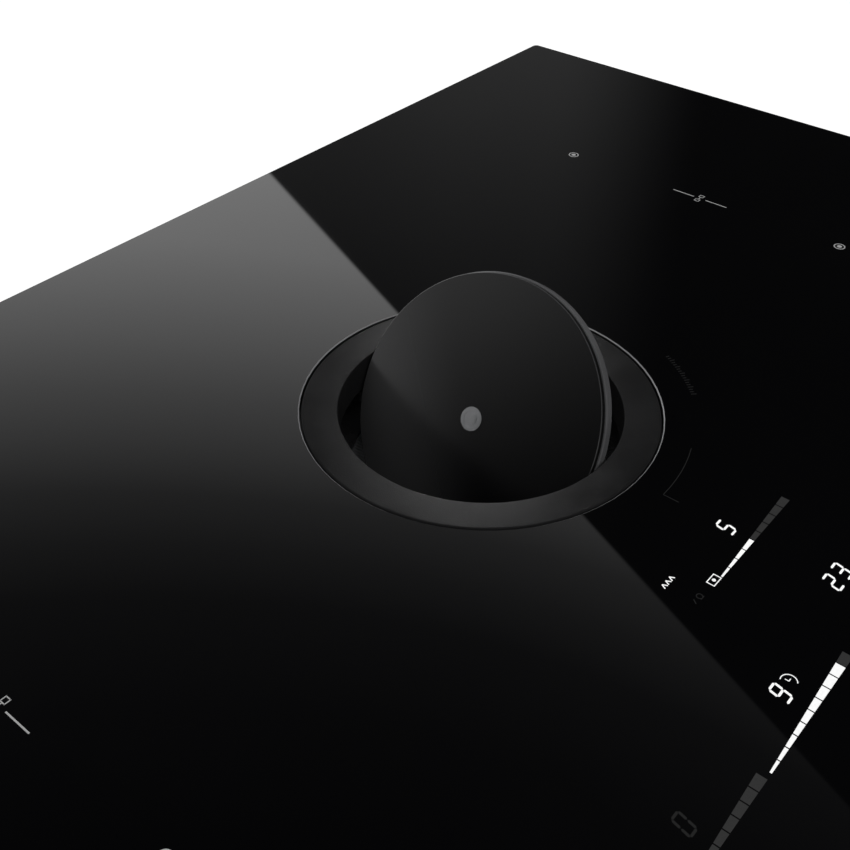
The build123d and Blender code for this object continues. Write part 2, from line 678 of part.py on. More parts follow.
# ---------------------------------------------------------------- filter and bowl
def filter_basket():
    """The slotted basket; its flange rests on the collar's ledge, notched past the pinion."""
    flange_r = COLLAR_BORE_R - 1.0
    z1, z0 = LEDGE_Z + BASKET_FLANGE_T, HEIGHT - BASKET_BOTTOM_DROP
    basket = turned(
        [
            (BASKET_R - BASKET_WALL, z1),
            (flange_r, z1),
            (flange_r, LEDGE_Z),
            (BASKET_R, LEDGE_Z),
            (BASKET_R, z0),
            (BASKET_R - 3 * BASKET_WALL, z0),
            (BASKET_R - 3 * BASKET_WALL, z0 + BASKET_WALL),
            (BASKET_R - BASKET_WALL, z0 + BASKET_WALL),
        ],
        y=THROAT_Y,
    )
    slot_mid = (LEDGE_Z + z0 + BASKET_WALL) / 2
    for x, y, angle in ring_of(BASKET_SLOTS, BASKET_R):
        slot = extrude(SlotOverall(BASKET_SLOT_H, BASKET_SLOT_W), 4 * BASKET_WALL, both=True)
        slot = Rot(0, 0, angle) * Rot(0, 90, 0) * slot
        basket -= Pos(x, y + THROAT_Y, slot_mid) * slot
    notch = GEAR_MODULE * (PINION_TEETH / 2 + 1) + 1
    clear_y = THROAT_Y + GEAR_START - 1
    return basket - block(-notch, notch, clear_y, THROAT_Y + flange_r + 1, LEDGE_Z, z1)


def filter_floor():
    """The mesh disc on the basket's inner lip."""
    z0 = HEIGHT - BASKET_BOTTOM_DROP + BASKET_WALL
    return drum(BASKET_R - BASKET_WALL - MESH_CLEAR, z0, z0 + MESH_T, y=THROAT_Y)


def filter_sleeve():
    """The rolled mesh that stands on the disc, inside the basket's wall."""
    r = BASKET_R - BASKET_WALL - MESH_CLEAR
    z0 = HEIGHT - BASKET_BOTTOM_DROP + BASKET_WALL + MESH_T
    return tube(r, r - MESH_T, z0, LEDGE_Z, y=THROAT_Y)


def drip_bowl():
    """The bowl that catches spilt liquid on the plenum's floor."""
    z0, z1 = PLENUM_T, PLENUM_T + BOWL_H
    return turned(
        [
            (0, z0),
            (BOWL_R - 6, z0),
            (BOWL_R, z0 + 6),
            (BOWL_R, z1 - BOWL_WALL),
            (BOWL_R + BOWL_LIP, z1 - BOWL_WALL),
            (BOWL_R + BOWL_LIP, z1),
            (BOWL_R - BOWL_WALL, z1),
            (BOWL_R - BOWL_WALL, z0 + 6 + BOWL_WALL / 2),
            (BOWL_R - 6 - BOWL_WALL / 2, z0 + BOWL_WALL),
            (0, z0 + BOWL_WALL),
        ],
        y=THROAT_Y,
    )


# ---------------------------------------------------------------- steel pan
def vent_slots(x, y, count, pitch, length_at, z0, z1):
    """A row of rounded slots along Y, side by side in X, each as long as length_at says."""
    cut = None
    for k in range(count):
        offset = (k - (count - 1) / 2) * pitch
        face = Rot(0, 0, 90) * SlotOverall(length_at(offset), VENT_SLOT_W)
        slot = Pos(x + offset, y, z0) * extrude(face, z1 - z0)
        cut = slot if cut is None else cut + slot
    return cut


def standoff_points(side):
    """Where one power board's four standoffs stand."""
    inset = 2 * STANDOFF_R
    for dx in (-BOARD_W / 2 + inset, BOARD_W / 2 - inset):
        for dy in (-BOARD_D / 2 + inset, BOARD_D / 2 - inset):
            yield side * ZONE_X + dx, BOARD_Y + dy


def pan_floor():
    """The pan's floor sheet, open at the throat, with its cooling vents."""
    w, d = PAN_W - 2 * PAN_T, PAN_D - 2 * PAN_T
    pan = rounded_plate(w, d, PAN_CORNER_R - PAN_T, PAN_BOTTOM, PAN_FLOOR)
    pan -= drum(PAN_HOLE_R, PAN_BOTTOM, PAN_FLOOR, y=THROAT_Y)
    round_r = COOLING_BORE_R - 1
    for side in (-1, 1):
        x = side * ZONE_X
        pan -= vent_slots(
            x,
            COOLING_FAN_Y,
            VENT_SLOTS,
            (2 * round_r - VENT_SLOT_W) / VENT_SLOTS,
            lambda off: 2 * sqrt(round_r**2 - off**2),
            PAN_BOTTOM,
            PAN_FLOOR,
        )
        pan -= vent_slots(
            x,
            FRONT_VENT_IN - PAN_D / 2,
            FRONT_VENT_SLOTS,
            VENT_PITCH,
            lambda off: FRONT_VENT_L,
            PAN_BOTTOM,
            PAN_FLOOR,
        )
    for x, y in lid_screw_points():
        pan -= drum(SCREW_R + BUSH_FIT, PAN_BOTTOM, PAN_FLOOR, x, y)
    return pan


def pan_standoffs():
    """The studs welded on the floor, which carry the power boards."""
    top = PAN_FLOOR + STANDOFF_H
    points = [point for side in (-1, 1) for point in standoff_points(side)]
    return [drum(STANDOFF_R, PAN_FLOOR, top, x, y) for x, y in points]


def pan_sides():
    """The folded sides with their bonding flange: four walls and the four corners between them."""
    pan = rounded_plate(PAN_W, PAN_D, PAN_CORNER_R, PAN_BOTTOM, PAN_TOP)
    w, d = PAN_W - 2 * PAN_T, PAN_D - 2 * PAN_T
    pan -= rounded_plate(w, d, PAN_CORNER_R - PAN_T, PAN_BOTTOM, PAN_TOP - PAN_T)
    w, d = PAN_W - 2 * PAN_FLANGE_W, PAN_D - 2 * PAN_FLANGE_W
    pan -= block(-w / 2, w / 2, -d / 2, d / 2, PAN_FLOOR, PAN_TOP)
    wall = PAN_D / 2
    z = HEIGHT - GLAND_DROP
    pan -= rod_y(GLAND_R - GLAND_NUT_T / 2 + BUSH_FIT, wall - 2 * PAN_T, wall + 1, GLAND_X, z)
    for side in (-1, 1):
        for y in (-CLIP_Y, CLIP_Y):
            x0, x1 = sorted((side * (PAN_W / 2 - 2 * PAN_T), side * (PAN_W / 2 + 1)))
            pan -= rod_x(SCREW_R + BUSH_FIT, x0, x1, y, clip_screw_z())
    x_edges = (-PAN_W / 2, -PAN_W / 2 + PAN_FLANGE_W, PAN_W / 2 - PAN_FLANGE_W, PAN_W / 2)
    y_edges = (-PAN_D / 2, -PAN_D / 2 + PAN_FLANGE_W, PAN_D / 2 - PAN_FLANGE_W, PAN_D / 2)
    sides = []
    for x0, x1 in zip(x_edges, x_edges[1:]):
        for y0, y1 in zip(y_edges, y_edges[1:]):
            side = pan & block(x0, x1, y0, y1, PAN_BOTTOM, PAN_TOP)
            sides += side.solids() if side else []
    return sides


def clip_screw_z():
    """Height of the screws that hold the worktop clips."""
    return PAN_BOTTOM + PAN_H / 2 + CLIP_H / 4


def worktop_clips():
    """Four leaf springs on the pan's sides that grip the edge of the worktop's cut-out."""
    low, mid = PAN_BOTTOM + PAN_H / 2 - CLIP_H / 2, PAN_BOTTOM + PAN_H / 2
    high = low + CLIP_H
    x0 = PAN_W / 2
    x1, x2 = x0 + CLIP_T, x0 + CLIP_BULGE
    outline = [
        (x0, high),
        (x1, high),
        (x1, mid),
        (x2, mid - CLIP_H / 4),
        (x1, low),
        (x0, low),
        (x2 - CLIP_T * 1.4, mid - CLIP_H / 4),
        (x0, mid),
    ]
    clips = []
    for side in (-1, 1):
        for y in (-CLIP_Y, CLIP_Y):
            face = Plane.XZ * make_face(Polyline(*[(side * x, z) for x, z in outline], close=True))
            leaf = Pos(0, y, 0) * extrude(face, CLIP_W / 2, both=True)
            hole_x0, hole_x1 = sorted((side * (x0 - 1), side * (x1 + 1)))
            leaf -= rod_x(SCREW_R + BUSH_FIT, hole_x0, hole_x1, y, clip_screw_z())
            clips.append(leaf)
    return clips


def clip_screws():
    """The screw through each worktop clip."""
    screws = []
    for side in (-1, 1):
        for y in (-CLIP_Y, CLIP_Y):
            at = Pos(side * (PAN_W / 2 + CLIP_T), y, clip_screw_z())
            screws.append(at * Rot(0, side * 90, 0) * screw(CLIP_T + 6 * PAN_T, CLIP_SCREW_R))
    return screws


# ---------------------------------------------------------------- coils
def coil_shape(inset, z0, z1, zone):
    """A rounded block of the coil's outline, drawn in by inset."""
    w, d = COIL_W - 2 * inset, COIL_D - 2 * inset
    r = max(COIL_R - inset, 2.0)
    x, y = zone
    return Pos(x, y, z0) * extrude(RectangleRounded(w, d, r), z1 - z0)


def coil_windings():
    """Four flat windings, each a band with a groove between its groups of turns."""
    windings = []
    depth = COIL_T / 3
    for zone in ZONES:
        band = coil_shape(0, CARRIER_TOP, COIL_TOP, zone)
        band -= coil_shape(COIL_BAND, CARRIER_TOP, COIL_TOP, zone)
        for k in range(1, COIL_GROOVES):
            inset = COIL_BAND * k / COIL_GROOVES
            groove = coil_shape(inset - 0.6, COIL_TOP - depth, COIL_TOP, zone)
            groove -= coil_shape(inset + 0.6, COIL_TOP - depth, COIL_TOP, zone)
            band -= groove
        windings.append(band)
    return windings


def mica_sheets():
    """The insulating sheet between each winding and the glass."""
    return [coil_shape(-2, COIL_TOP, GLASS_UNDER, zone) for zone in ZONES]


def coil_carriers():
    """The moulded tray that each winding lies on, with four posts down to the plate."""
    trays = []
    for zone in ZONES:
        tray = coil_shape(-3, FERRITE_TOP, CARRIER_TOP, zone)
        tray -= drum(SENSOR_R + FIT, FERRITE_TOP, CARRIER_TOP, *zone)
        for sx in (-1, 1):
            for sy in (-1, 1):
                x = zone[0] + sx * (COIL_W / 2 - COIL_R / 2)
                y = zone[1] + sy * (COIL_D / 2 - COIL_R / 2)
                tray += drum(COIL_POST_R, COIL_PLATE_TOP, FERRITE_TOP, x, y)
        trays.append(tray)
    return trays


def ferrite_bars():
    """Flux bars laid out like spokes under each tray."""
    bars = []
    z0 = COIL_PLATE_TOP
    for x, y in ZONES:
        mid = SENSOR_R + 10 + FERRITE_L / 2 - 4
        for dx, dy, angle in ring_of(FERRITE_COUNT, mid, 0.0):
            bar = Box(FERRITE_L - 10, FERRITE_W, FERRITE_T, align=BOTTOM)
            bars.append(Pos(x + dx, y + dy, z0) * Rot(0, 0, angle) * bar)
    return bars


def coil_sensors():
    """The temperature sensor at each coil's centre, standing on the plate."""
    return [drum(SENSOR_R, COIL_PLATE_TOP, COIL_TOP, x, y) for x, y in ZONES]


def coil_plate_centre_y():
    """Middle of the two coils on one plate."""
    return (ZONE_BACK_Y + ZONE_FRONT_Y) / 2


def coil_plates():
    """The two aluminium plates that carry the coils, each on four pillars from the pan."""
    plates = []
    for side in (-1, 1):
        plate = Box(COIL_PLATE_W, COIL_PLATE_D, COIL_PLATE_T, align=BOTTOM)
        x, y = side * ZONE_X, coil_plate_centre_y()
        z0 = COIL_PLATE_TOP - COIL_PLATE_T
        solid = Pos(x, y, z0) * plate
        for sx in (-1, 1):
            for sy in (-1, 1):
                px = x + sx * (COIL_PLATE_W / 2 - COIL_POST_R - 1)
                py = y + sy * (COIL_PLATE_D / 2 - COIL_POST_R - 1)
                solid += drum(COIL_POST_R, PAN_FLOOR, z0, px, py)
        plates.append(solid)
    return plates


# ---------------------------------------------------------------- power electronics
def power_boards():
    """The left and right power boards on the pan's standoffs."""
    z0 = PAN_FLOOR + STANDOFF_H
    boards = []
    for side in (-1, 1):
        board = Box(BOARD_W, BOARD_D, BOARD_T, align=BOTTOM)
        boards.append(Pos(side * ZONE_X, BOARD_Y, z0) * board)
    return boards


def heatsinks():
    """A finned extrusion on each board."""
    sinks = []
    z0 = PAN_FLOOR + STANDOFF_H + BOARD_T
    for side in (-1, 1):
        x = side * ZONE_X
        sink = block(-HEATSINK_W / 2, HEATSINK_W / 2, -HEATSINK_D / 2, HEATSINK_D / 2, 0, 4)
        for k in range(HEATSINK_FINS):
            fx = (k / (HEATSINK_FINS - 1) - 0.5) * (HEATSINK_W - FIN_T)
            y = HEATSINK_D / 2
            sink += block(fx - FIN_T / 2, fx + FIN_T / 2, -y, y, 4, HEATSINK_H)
        sinks.append(Pos(x, BOARD_Y, z0) * sink)
    return sinks


def board_components():
    """Capacitors and chokes beside each heatsink."""
    parts = []
    z0 = PAN_FLOOR + STANDOFF_H + BOARD_T
    for side in (-1, 1):
        x = side * ZONE_X + HEATSINK_W / 2 + CAPACITOR_R + 8
        for k in range(3):
            y = BOARD_Y + (k - 1) * 2.6 * CAPACITOR_R
            parts.append(drum(CAPACITOR_R, z0, z0 + CAPACITOR_H, x, y))
        x = side * ZONE_X - HEATSINK_W / 2 - CHOKE_R - CHOKE_CORE - 6
        for dy in (-2.2 * CHOKE_R, 2.2 * CHOKE_R):
            core = Torus(CHOKE_R, CHOKE_CORE)
            parts.append(Pos(x, BOARD_Y + dy, z0 + CHOKE_CORE) * core)
    return parts


def cooling_fan_frames():
    """The two square fan frames over the pan's round vents, with a three-arm motor seat."""
    frames = []
    z0, z1 = PAN_FLOOR, PAN_FLOOR + COOLING_FAN_H
    half = COOLING_FAN_SIDE / 2
    for side in (-1, 1):
        x, y = side * ZONE_X, COOLING_FAN_Y
        frame = block(x - half, x + half, y - half, y + half, z0, z1)
        frame -= drum(COOLING_BORE_R, z0, z1, x, y)
        arms = drum(COOLING_HUB_R - 2, z1 - 3, z1, x, y)
        for k in range(3):
            arm = block(0, COOLING_BORE_R + 1, -2, 2, z1 - 3, z1)
            arms += Pos(x, y, 0) * Rot(0, 0, 120 * k + 30) * arm
        frame += arms & block(x - half, x + half, y - half, y + half, z0, z1)
        frame += drum(SCREW_R, z0 + 8, z1, x, y)
        frames.append(frame)
    return frames


def cooling_rotor(side):
    """A seven-blade rotor whose hub turns on the pin of its frame's seat."""
    z0, z1 = PAN_FLOOR + 2, PAN_FLOOR + COOLING_FAN_H - 4
    x, y = side * ZONE_X, COOLING_FAN_Y
    rotor = drum(COOLING_HUB_R, z0, z1) - drum(SCREW_R + RUN_CLEAR, z0 + 3, z1)
    for k in range(COOLING_BLADES):
        blade = block(COOLING_HUB_R - 2, COOLING_ROTOR_R, -0.7, 0.7, -7, 7)
        blade = Rot(0, 0, 360.0 * k / COOLING_BLADES) * Rot(40, 0, 0) * blade
        rotor += Pos(0, 0, (z0 + z1) / 2) * blade
    inside = drum(COOLING_ROTOR_R, z0, z1) - drum(SCREW_R + RUN_CLEAR, z0 + 3, z1)
    return Pos(x, y, 0) * (rotor & inside)


# ---------------------------------------------------------------- touch controls
def control_level():
    """Upper face of the control board."""
    return GLASS_UNDER - DISPLAY_H


def control_tray():
    """The shallow plastic tray, on four legs, that holds the control board."""
    z1 = control_level() - BOARD_T
    z0 = z1 - CONTROL_TRAY_H
    t = CONTROL_TRAY_T
    tray = block(-CONTROL_W / 2, CONTROL_W / 2, -CONTROL_D / 2, CONTROL_D / 2, z0, z1)
    w, d = CONTROL_W / 2 - t, CONTROL_D / 2 - t
    tray -= block(-w, w, -d, d, z0 + t, z1)
    for sx in (-1, 1):
        for sy in (-1, 1):
            x, y = sx * (w - 2 * STANDOFF_R), sy * (d - 2 * STANDOFF_R)
            tray += drum(STANDOFF_R, z0, z1, x, y)
            tray += drum(STANDOFF_R, PAN_FLOOR, z0, x, y)
    return Pos(0, CONTROL_Y, 0) * tray


def control_board():
    """The touch and display board."""
    z1 = control_level()
    board = block(-CONTROL_W / 2, CONTROL_W / 2, -CONTROL_D / 2, CONTROL_D / 2, z1 - BOARD_T, z1)
    return Pos(0, CONTROL_Y, 0) * board


def display_modules():
    """The digit displays: the fan's level, the timer and four cooking levels."""
    places = [(0, FAN_DISPLAY_Y), (0, CONTROL_Y + TIMER_DY)] + [(x, LEVEL_Y) for x in LEVEL_X]
    w, d = DISPLAY_SIZE
    z0 = control_level()
    return [Pos(x, y, z0) * Box(w, d, DISPLAY_H - FIT, align=BOTTOM) for x, y in places]


def touch_pads():
    """Sprung touch contacts under each slider, held against the glass."""
    z0, z1 = control_level(), GLASS_UNDER
    rows = [(0, FAN_DISPLAY_Y - PAD_PITCH)] + [(x, LEVEL_Y - PAD_PITCH) for x in LEVEL_X]
    pads = []
    for x, y in rows:
        for k in range(PADS_PER_SLIDER):
            px = x + (k - (PADS_PER_SLIDER - 1) / 2) * PAD_PITCH
            pads.append(drum(PAD_R, z0, z1, px, y))
    return pads


# ---------------------------------------------------------------- mains entry
def cable_gland():
    """The mains gland through the pan's back wall, with its nuts on both sides."""
    wall, z = PAN_D / 2, HEIGHT - GLAND_DROP
    stem_r = GLAND_R - GLAND_NUT_T / 2
    gland = rod_y(stem_r, wall - GLAND_IN, wall + GLAND_OUT, GLAND_X, z)
    for y0, y1 in ((wall - PAN_T - GLAND_NUT_T, wall - PAN_T), (wall, wall + GLAND_NUT_T)):
        nut = extrude(RegularPolygon(GLAND_R, 6), y1 - y0)
        gland += Pos(GLAND_X, y0, z) * Rot(-90, 0, 0) * nut
    ring = rod_y(GLAND_R, wall + GLAND_OUT - GLAND_NUT_T, wall + GLAND_OUT, GLAND_X, z)
    gland += ring
    y0, y1 = wall - GLAND_IN - 1, wall + GLAND_OUT + 1
    return gland - rod_y(GLAND_BORE_R, y0, y1, GLAND_X, z)


def terminal_block():
    """The mains terminal block on the pan's floor, clear of the gland."""
    w, d, h = TERMINAL_SIZE
    x, y = GLAND_X, PAN_D / 2 - GLAND_IN - d
    body = block(x - w / 2, x + w / 2, y - d / 2, y + d / 2, PAN_FLOOR, PAN_FLOOR + h / 2)
    body += block(x - w / 2, x + w / 2, y - d / 2, y, PAN_FLOOR, PAN_FLOOR + h)
    for k in range(5):
        px = x + (k - 2) * w / 5.5
        body -= drum(SCREW_R, PAN_FLOOR + h - 6, PAN_FLOOR + h, px, y - d / 4)
    return body


# ---------------------------------------------------------------- plenum
def lid_screw_points():
    """Where the screws go up through the lid into the pan, outside the tub's walls."""
    reach = PLENUM_HALF + LID_RIM / 2
    along = LID_SCREW_SHARE * PLENUM_HALF
    for near in (-reach, reach):
        for far in (-along, along):
            yield near, THROAT_Y + far
            yield far, THROAT_Y + near


def lid_half():
    """Half the lid's side, which reaches past the tub to take its screws."""
    return PLENUM_HALF + LID_RIM


def plenum_lid():
    """The moulded lid with the neck that sleeves the collar."""
    side = 2 * lid_half()
    lid = Pos(0, THROAT_Y, TUB_TOP) * extrude(RectangleRounded(side, side, PLENUM_CORNER_R), LID_T)
    neck_top = TUB_TOP + LID_T + NECK_H
    lid += drum(NECK_R + NECK_T, TUB_TOP, neck_top, y=THROAT_Y)
    lid -= drum(NECK_R, TUB_TOP, neck_top, y=THROAT_Y)
    for x, y in lid_screw_points():
        lid -= drum(SCREW_R + BUSH_FIT, TUB_TOP, LID_TOP, x, y)
    return lid


def pan_gasket():
    """The foam ring between the lid and the pan."""
    r_in = PAN_HOLE_R
    return tube(r_in + PAN_GASKET_W, r_in, LID_TOP, PAN_BOTTOM, y=THROAT_Y)


def plenum_tub():
    """The deep tub: four walls and a floor, with the blower's eye in the right wall."""
    side = 2 * PLENUM_HALF
    outer = extrude(RectangleRounded(side, side, PLENUM_CORNER_R), TUB_TOP)
    inner_side = side - 2 * PLENUM_T
    r = PLENUM_CORNER_R - PLENUM_T
    inner = extrude(RectangleRounded(inner_side, inner_side, r), TUB_TOP - PLENUM_T)
    tub = Pos(0, THROAT_Y, 0) * (outer - Pos(0, 0, PLENUM_T) * inner)
    x0, x1 = PLENUM_HALF - 2 * PLENUM_T, PLENUM_HALF + 1
    tub -= rod_x(EYE_R, x0, x1, BLOWER_Y, BLOWER_Z)
    for y, z, _ in ring_of(4, EYE_R + 8, 45.0):
        tub -= rod_x(SCREW_R + BUSH_FIT, x0, x1, BLOWER_Y + y, BLOWER_Z + z)
    return tub


def lid_screws():
    """The screws that hang the lid from the pan."""
    up = Rot(180, 0, 0)
    return [Pos(x, y, TUB_TOP) * up * screw(LID_T + 4) for x, y in lid_screw_points()]


# ---------------------------------------------------------------- blower
def scroll_outline(grow):
    """The scroll's side view, in (y, z), its wall moved out by grow; the mouth stays open."""
    r1, r2, r3 = (SCROLL_START_R + k * SCROLL_STEP + grow for k in range(3))
    y1, z1 = BLOWER_Y + SCROLL_SHIFT_Y, BLOWER_Z + SCROLL_SHIFT_Z
    z2 = z1 - SCROLL_STEP
    y3 = y1 + SCROLL_STEP
    z3 = z2 - SCROLL_STEP
    lift = degrees(asin(grow / r1))
    first = CenterArc((y1, z1), r1, lift, 90 - lift)
    second = CenterArc((y1, z2), r2, 90, 90)
    third = CenterArc((y3, z2), r3, 180, 90)
    low = z2 - r3
    mouth = [(y3, low), (BLOWER_MOUTH_Y, low), (BLOWER_MOUTH_Y, z1 + grow)]
    tongue = (y1 + r1 * cos(radians(lift)), z1 + r1 * sin(radians(lift)))
    walls = Polyline(*mouth, tongue)
    return make_face([first, second, third, *walls.edges()])


def scroll_slab(grow, x0, x1):
    """The scroll's outline as a slab from x0 to x1."""
    return Pos(x0, 0, 0) * extrude(Plane.YZ * scroll_outline(grow), x1 - x0)


def blower_shell_inner():
    """The shell half on the plenum, with the eye and its screw holes."""
    shell = scroll_slab(BLOWER_T, BLOWER_X, BLOWER_MID_X)
    shell -= scroll_slab(0, BLOWER_X + BLOWER_T, BLOWER_MID_X)
    x0, x1 = BLOWER_X - 1, BLOWER_X + BLOWER_T + 1
    shell -= rod_x(EYE_R, x0, x1, BLOWER_Y, BLOWER_Z)
    for y, z, _ in ring_of(4, EYE_R + 8, 45.0):
        shell -= rod_x(SCREW_R + BUSH_FIT, x0, x1, BLOWER_Y + y, BLOWER_Z + z)
    return shell


def lug_top():
    """Upper face of the lug that the hanger holds."""
    return BLOWER_Z + SCROLL_SHIFT_Z + SCROLL_START_R + BLOWER_T + LUG_H


def lug_y():
    """Middle of the lug, over the scroll's highest point."""
    return BLOWER_Y + SCROLL_SHIFT_Y


def blower_shell_outer():
    """The shell half that carries the motor, with the hanger's lug on top."""
    shell = scroll_slab(BLOWER_T, BLOWER_MID_X, BLOWER_FAR_X)
    half = HANGER_W / 2
    lug_low = BLOWER_Z + SCROLL_SHIFT_Z + SCROLL_START_R - 2
    y = lug_y()
    shell += block(BLOWER_MID_X, BLOWER_FAR_X, y - half, y + half, lug_low, lug_top())
    shell -= scroll_slab(0, BLOWER_MID_X, BLOWER_FAR_X - BLOWER_T)
    x0, x1 = BLOWER_FAR_X - BLOWER_T - 1, BLOWER_FAR_X + 1
    shell -= rod_x(FAN_MOTOR_R + 1, x0, x1, BLOWER_Y, BLOWER_Z)
    for y, z, _ in ring_of(FAN_SCREWS, FAN_SCREW_R, 90.0):
        shell -= rod_x(SCREW_R + BUSH_FIT, x0, x1, BLOWER_Y + y, BLOWER_Z + z)
    return shell


def blower_screws():
    """The screws that hold the blower to the plenum's wall, from the plenum's side."""
    x = PLENUM_HALF - PLENUM_T
    turn = Rot(0, -90, 0)
    length = PLENUM_T + BLOWER_T + 1
    places = ring_of(4, EYE_R + 8, 45.0)
    return [Pos(x, BLOWER_Y + y, BLOWER_Z + z) * turn * screw(length) for y, z, _ in places]


def inlet_ring():
    """The bellmouth that sits in the eye and leads air into the wheel."""
    x0 = PLENUM_HALF - PLENUM_T
    x1 = BLOWER_X + IMPELLER_START - 2
    throat = IMPELLER_EYE_R - 4
    return turned_x(
        [
            (EYE_R + 3, x0 - 2),
            (EYE_R + 3, x0),
            (EYE_R - BUSH_FIT, x0),
            (EYE_R - BUSH_FIT, BLOWER_X + BLOWER_T),
            (throat + 1.5, x1),
            (throat, x1),
            (throat, x0 + 3),
            (throat + 3, x0 - 2),
        ],
        BLOWER_Y,
        BLOWER_Z,
    )


def impeller():
    """The forward-curved wheel's back plate and the cup over the motor."""
    x1 = BLOWER_X + IMPELLER_START + IMPELLER_L
    t = IMPELLER_PLATE_T
    cup_x = x1 - CUP_L
    return turned_x(
        [
            (FAN_SHAFT_R + BUSH_FIT, cup_x),
            (CUP_R - 4, cup_x),
            (CUP_R, cup_x + 4),
            (CUP_R, x1 - t),
            (IMPELLER_R, x1 - t),
            (IMPELLER_R, x1),
            (CUP_R - CUP_T, x1),
            (CUP_R - CUP_T, cup_x + 4 + CUP_T / 2),
            (CUP_R - 4 - CUP_T / 2, cup_x + CUP_T),
            (FAN_SHAFT_R + BUSH_FIT, cup_x + CUP_T),
        ],
        BLOWER_Y,
        BLOWER_Z,
    )


def impeller_blades():
    """The wheel's curved blades, clinched between the back plate and the front ring."""
    x0 = BLOWER_X + IMPELLER_START
    t = IMPELLER_PLATE_T
    ring = turned_x(
        [(IMPELLER_EYE_R, x0), (IMPELLER_R, x0), (IMPELLER_R, x0 + t), (IMPELLER_EYE_R, x0 + t)],
        BLOWER_Y,
        BLOWER_Z,
    )
    mid_r = (IMPELLER_R + IMPELLER_EYE_R) / 2
    depth = IMPELLER_R - IMPELLER_EYE_R
    lean = radians(BLADE_LEAN)
    across = depth / 2 * tan(lean) / 2
    inner = Vector(IMPELLER_EYE_R + 0.6, -across)
    middle = Vector(mid_r, across * 0.35)
    outer = Vector(IMPELLER_R - 0.4, across * 2.2)
    curve = ThreePointArc(inner, middle, outer)
    blade = Plane.YZ * trace(curve, BLADE_T)
    blade = Pos(x0 + t, 0, 0) * extrude(blade, IMPELLER_L - 2 * t)
    centre = Pos(0, BLOWER_Y, BLOWER_Z)
    turns = [Rot(360.0 * k / IMPELLER_BLADES, 0, 0) for k in range(IMPELLER_BLADES)]
    return [ring] + [centre * turn * blade for turn in turns]


def fan_motor_start():
    """The x of the fan motor's inner face."""
    return BLOWER_X + IMPELLER_START + IMPELLER_L - CUP_L + CUP_T + FAN_MOTOR_GAP


def fan_motor():
    """The motor inside the wheel's cup, with its mounting flange outside the shell."""
    x0 = fan_motor_start()
    x1 = BLOWER_FAR_X + GROMMET_T
    motor = rod_x(FAN_MOTOR_R, x0, x1 + FAN_FLANGE_T + FAN_MOTOR_OUT, BLOWER_Y, BLOWER_Z)
    motor += rod_x(FAN_FLANGE_R, x1, x1 + FAN_FLANGE_T, BLOWER_Y, BLOWER_Z)
    for y, z, _ in ring_of(FAN_SCREWS, FAN_SCREW_R, 90.0):
        y, z = BLOWER_Y + y, BLOWER_Z + z
        motor -= rod_x(SCREW_R + BUSH_FIT, x1 - 1, x1 + FAN_FLANGE_T + 1, y, z)
    return motor - rod_x(FAN_SHAFT_R + RUN_CLEAR, x0 - 1, BLOWER_FAR_X, BLOWER_Y, BLOWER_Z)


def fan_motor_grommets():
    """The rubber rings between the motor's flange and the shell."""
    x0, x1 = BLOWER_FAR_X, BLOWER_FAR_X + GROMMET_T
    rings = []
    for y, z, _ in ring_of(FAN_SCREWS, FAN_SCREW_R, 90.0):
        y, z = BLOWER_Y + y, BLOWER_Z + z
        rings.append(rod_x(GROMMET_R, x0, x1, y, z) - rod_x(SCREW_R + BUSH_FIT, x0, x1, y, z))
    return rings


def fan_motor_screws():
    """The screws through the flange and grommets into the shell."""
    x = BLOWER_FAR_X + GROMMET_T + FAN_FLANGE_T
    length = GROMMET_T + FAN_FLANGE_T + BLOWER_T + 1
    turn = Rot(0, 90, 0)
    places = ring_of(FAN_SCREWS, FAN_SCREW_R, 90.0)
    return [Pos(x, BLOWER_Y + y, BLOWER_Z + z) * turn * screw(length) for y, z, _ in places]


def fan_shaft():
    """The shaft, which turns in the motor's bore and holds the wheel by its cup."""
    x0 = BLOWER_X + IMPELLER_START + IMPELLER_L - CUP_L - NUT_T - 1
    return rod_x(FAN_SHAFT_R, x0, BLOWER_FAR_X - 2, BLOWER_Y, BLOWER_Z)


def impeller_nut():
    """The nut that clamps the wheel on its shaft, and the collar behind the cup's floor."""
    x1 = BLOWER_X + IMPELLER_START + IMPELLER_L - CUP_L
    nut = extrude(Plane.YZ * RegularPolygon(NUT_AF / 2, 6, major_radius=False), NUT_T)
    nut = Pos(x1 - NUT_T, BLOWER_Y, BLOWER_Z) * nut
    nut -= rod_x(FAN_SHAFT_R + BUSH_FIT, x1 - NUT_T - 1, x1 + 1, BLOWER_Y, BLOWER_Z)
    x2 = x1 + CUP_T
    x3 = x2 + FAN_MOTOR_GAP / 2
    clip = rod_x(FAN_SHAFT_R + 2, x2, x3, BLOWER_Y, BLOWER_Z)
    clip -= rod_x(FAN_SHAFT_R + BUSH_FIT, x2, x3, BLOWER_Y, BLOWER_Z)
    return nut, clip


def blower_hanger():
    """The folded strap that hangs the blower's far side from the pan."""
    y, half = lug_y(), HANGER_W / 2
    x0, x1 = BLOWER_FAR_X - HANGER_HOOK, BLOWER_FAR_X + HANGER_FOOT
    t, low = HANGER_T, lug_top()
    web = BLOWER_FAR_X - t
    strap = block(x0, web + t, y - half, y + half, low, low + t)
    strap += block(web, web + t, y - half, y + half, low, PAN_BOTTOM)
    strap += block(web, x1, y - half, y + half, PAN_BOTTOM - t, PAN_BOTTOM)
    return strap


# ---------------------------------------------------------------- outlet duct and damper
def spigot_top():
    """Height of the spigot's outer top wall."""
    return SPIGOT_H


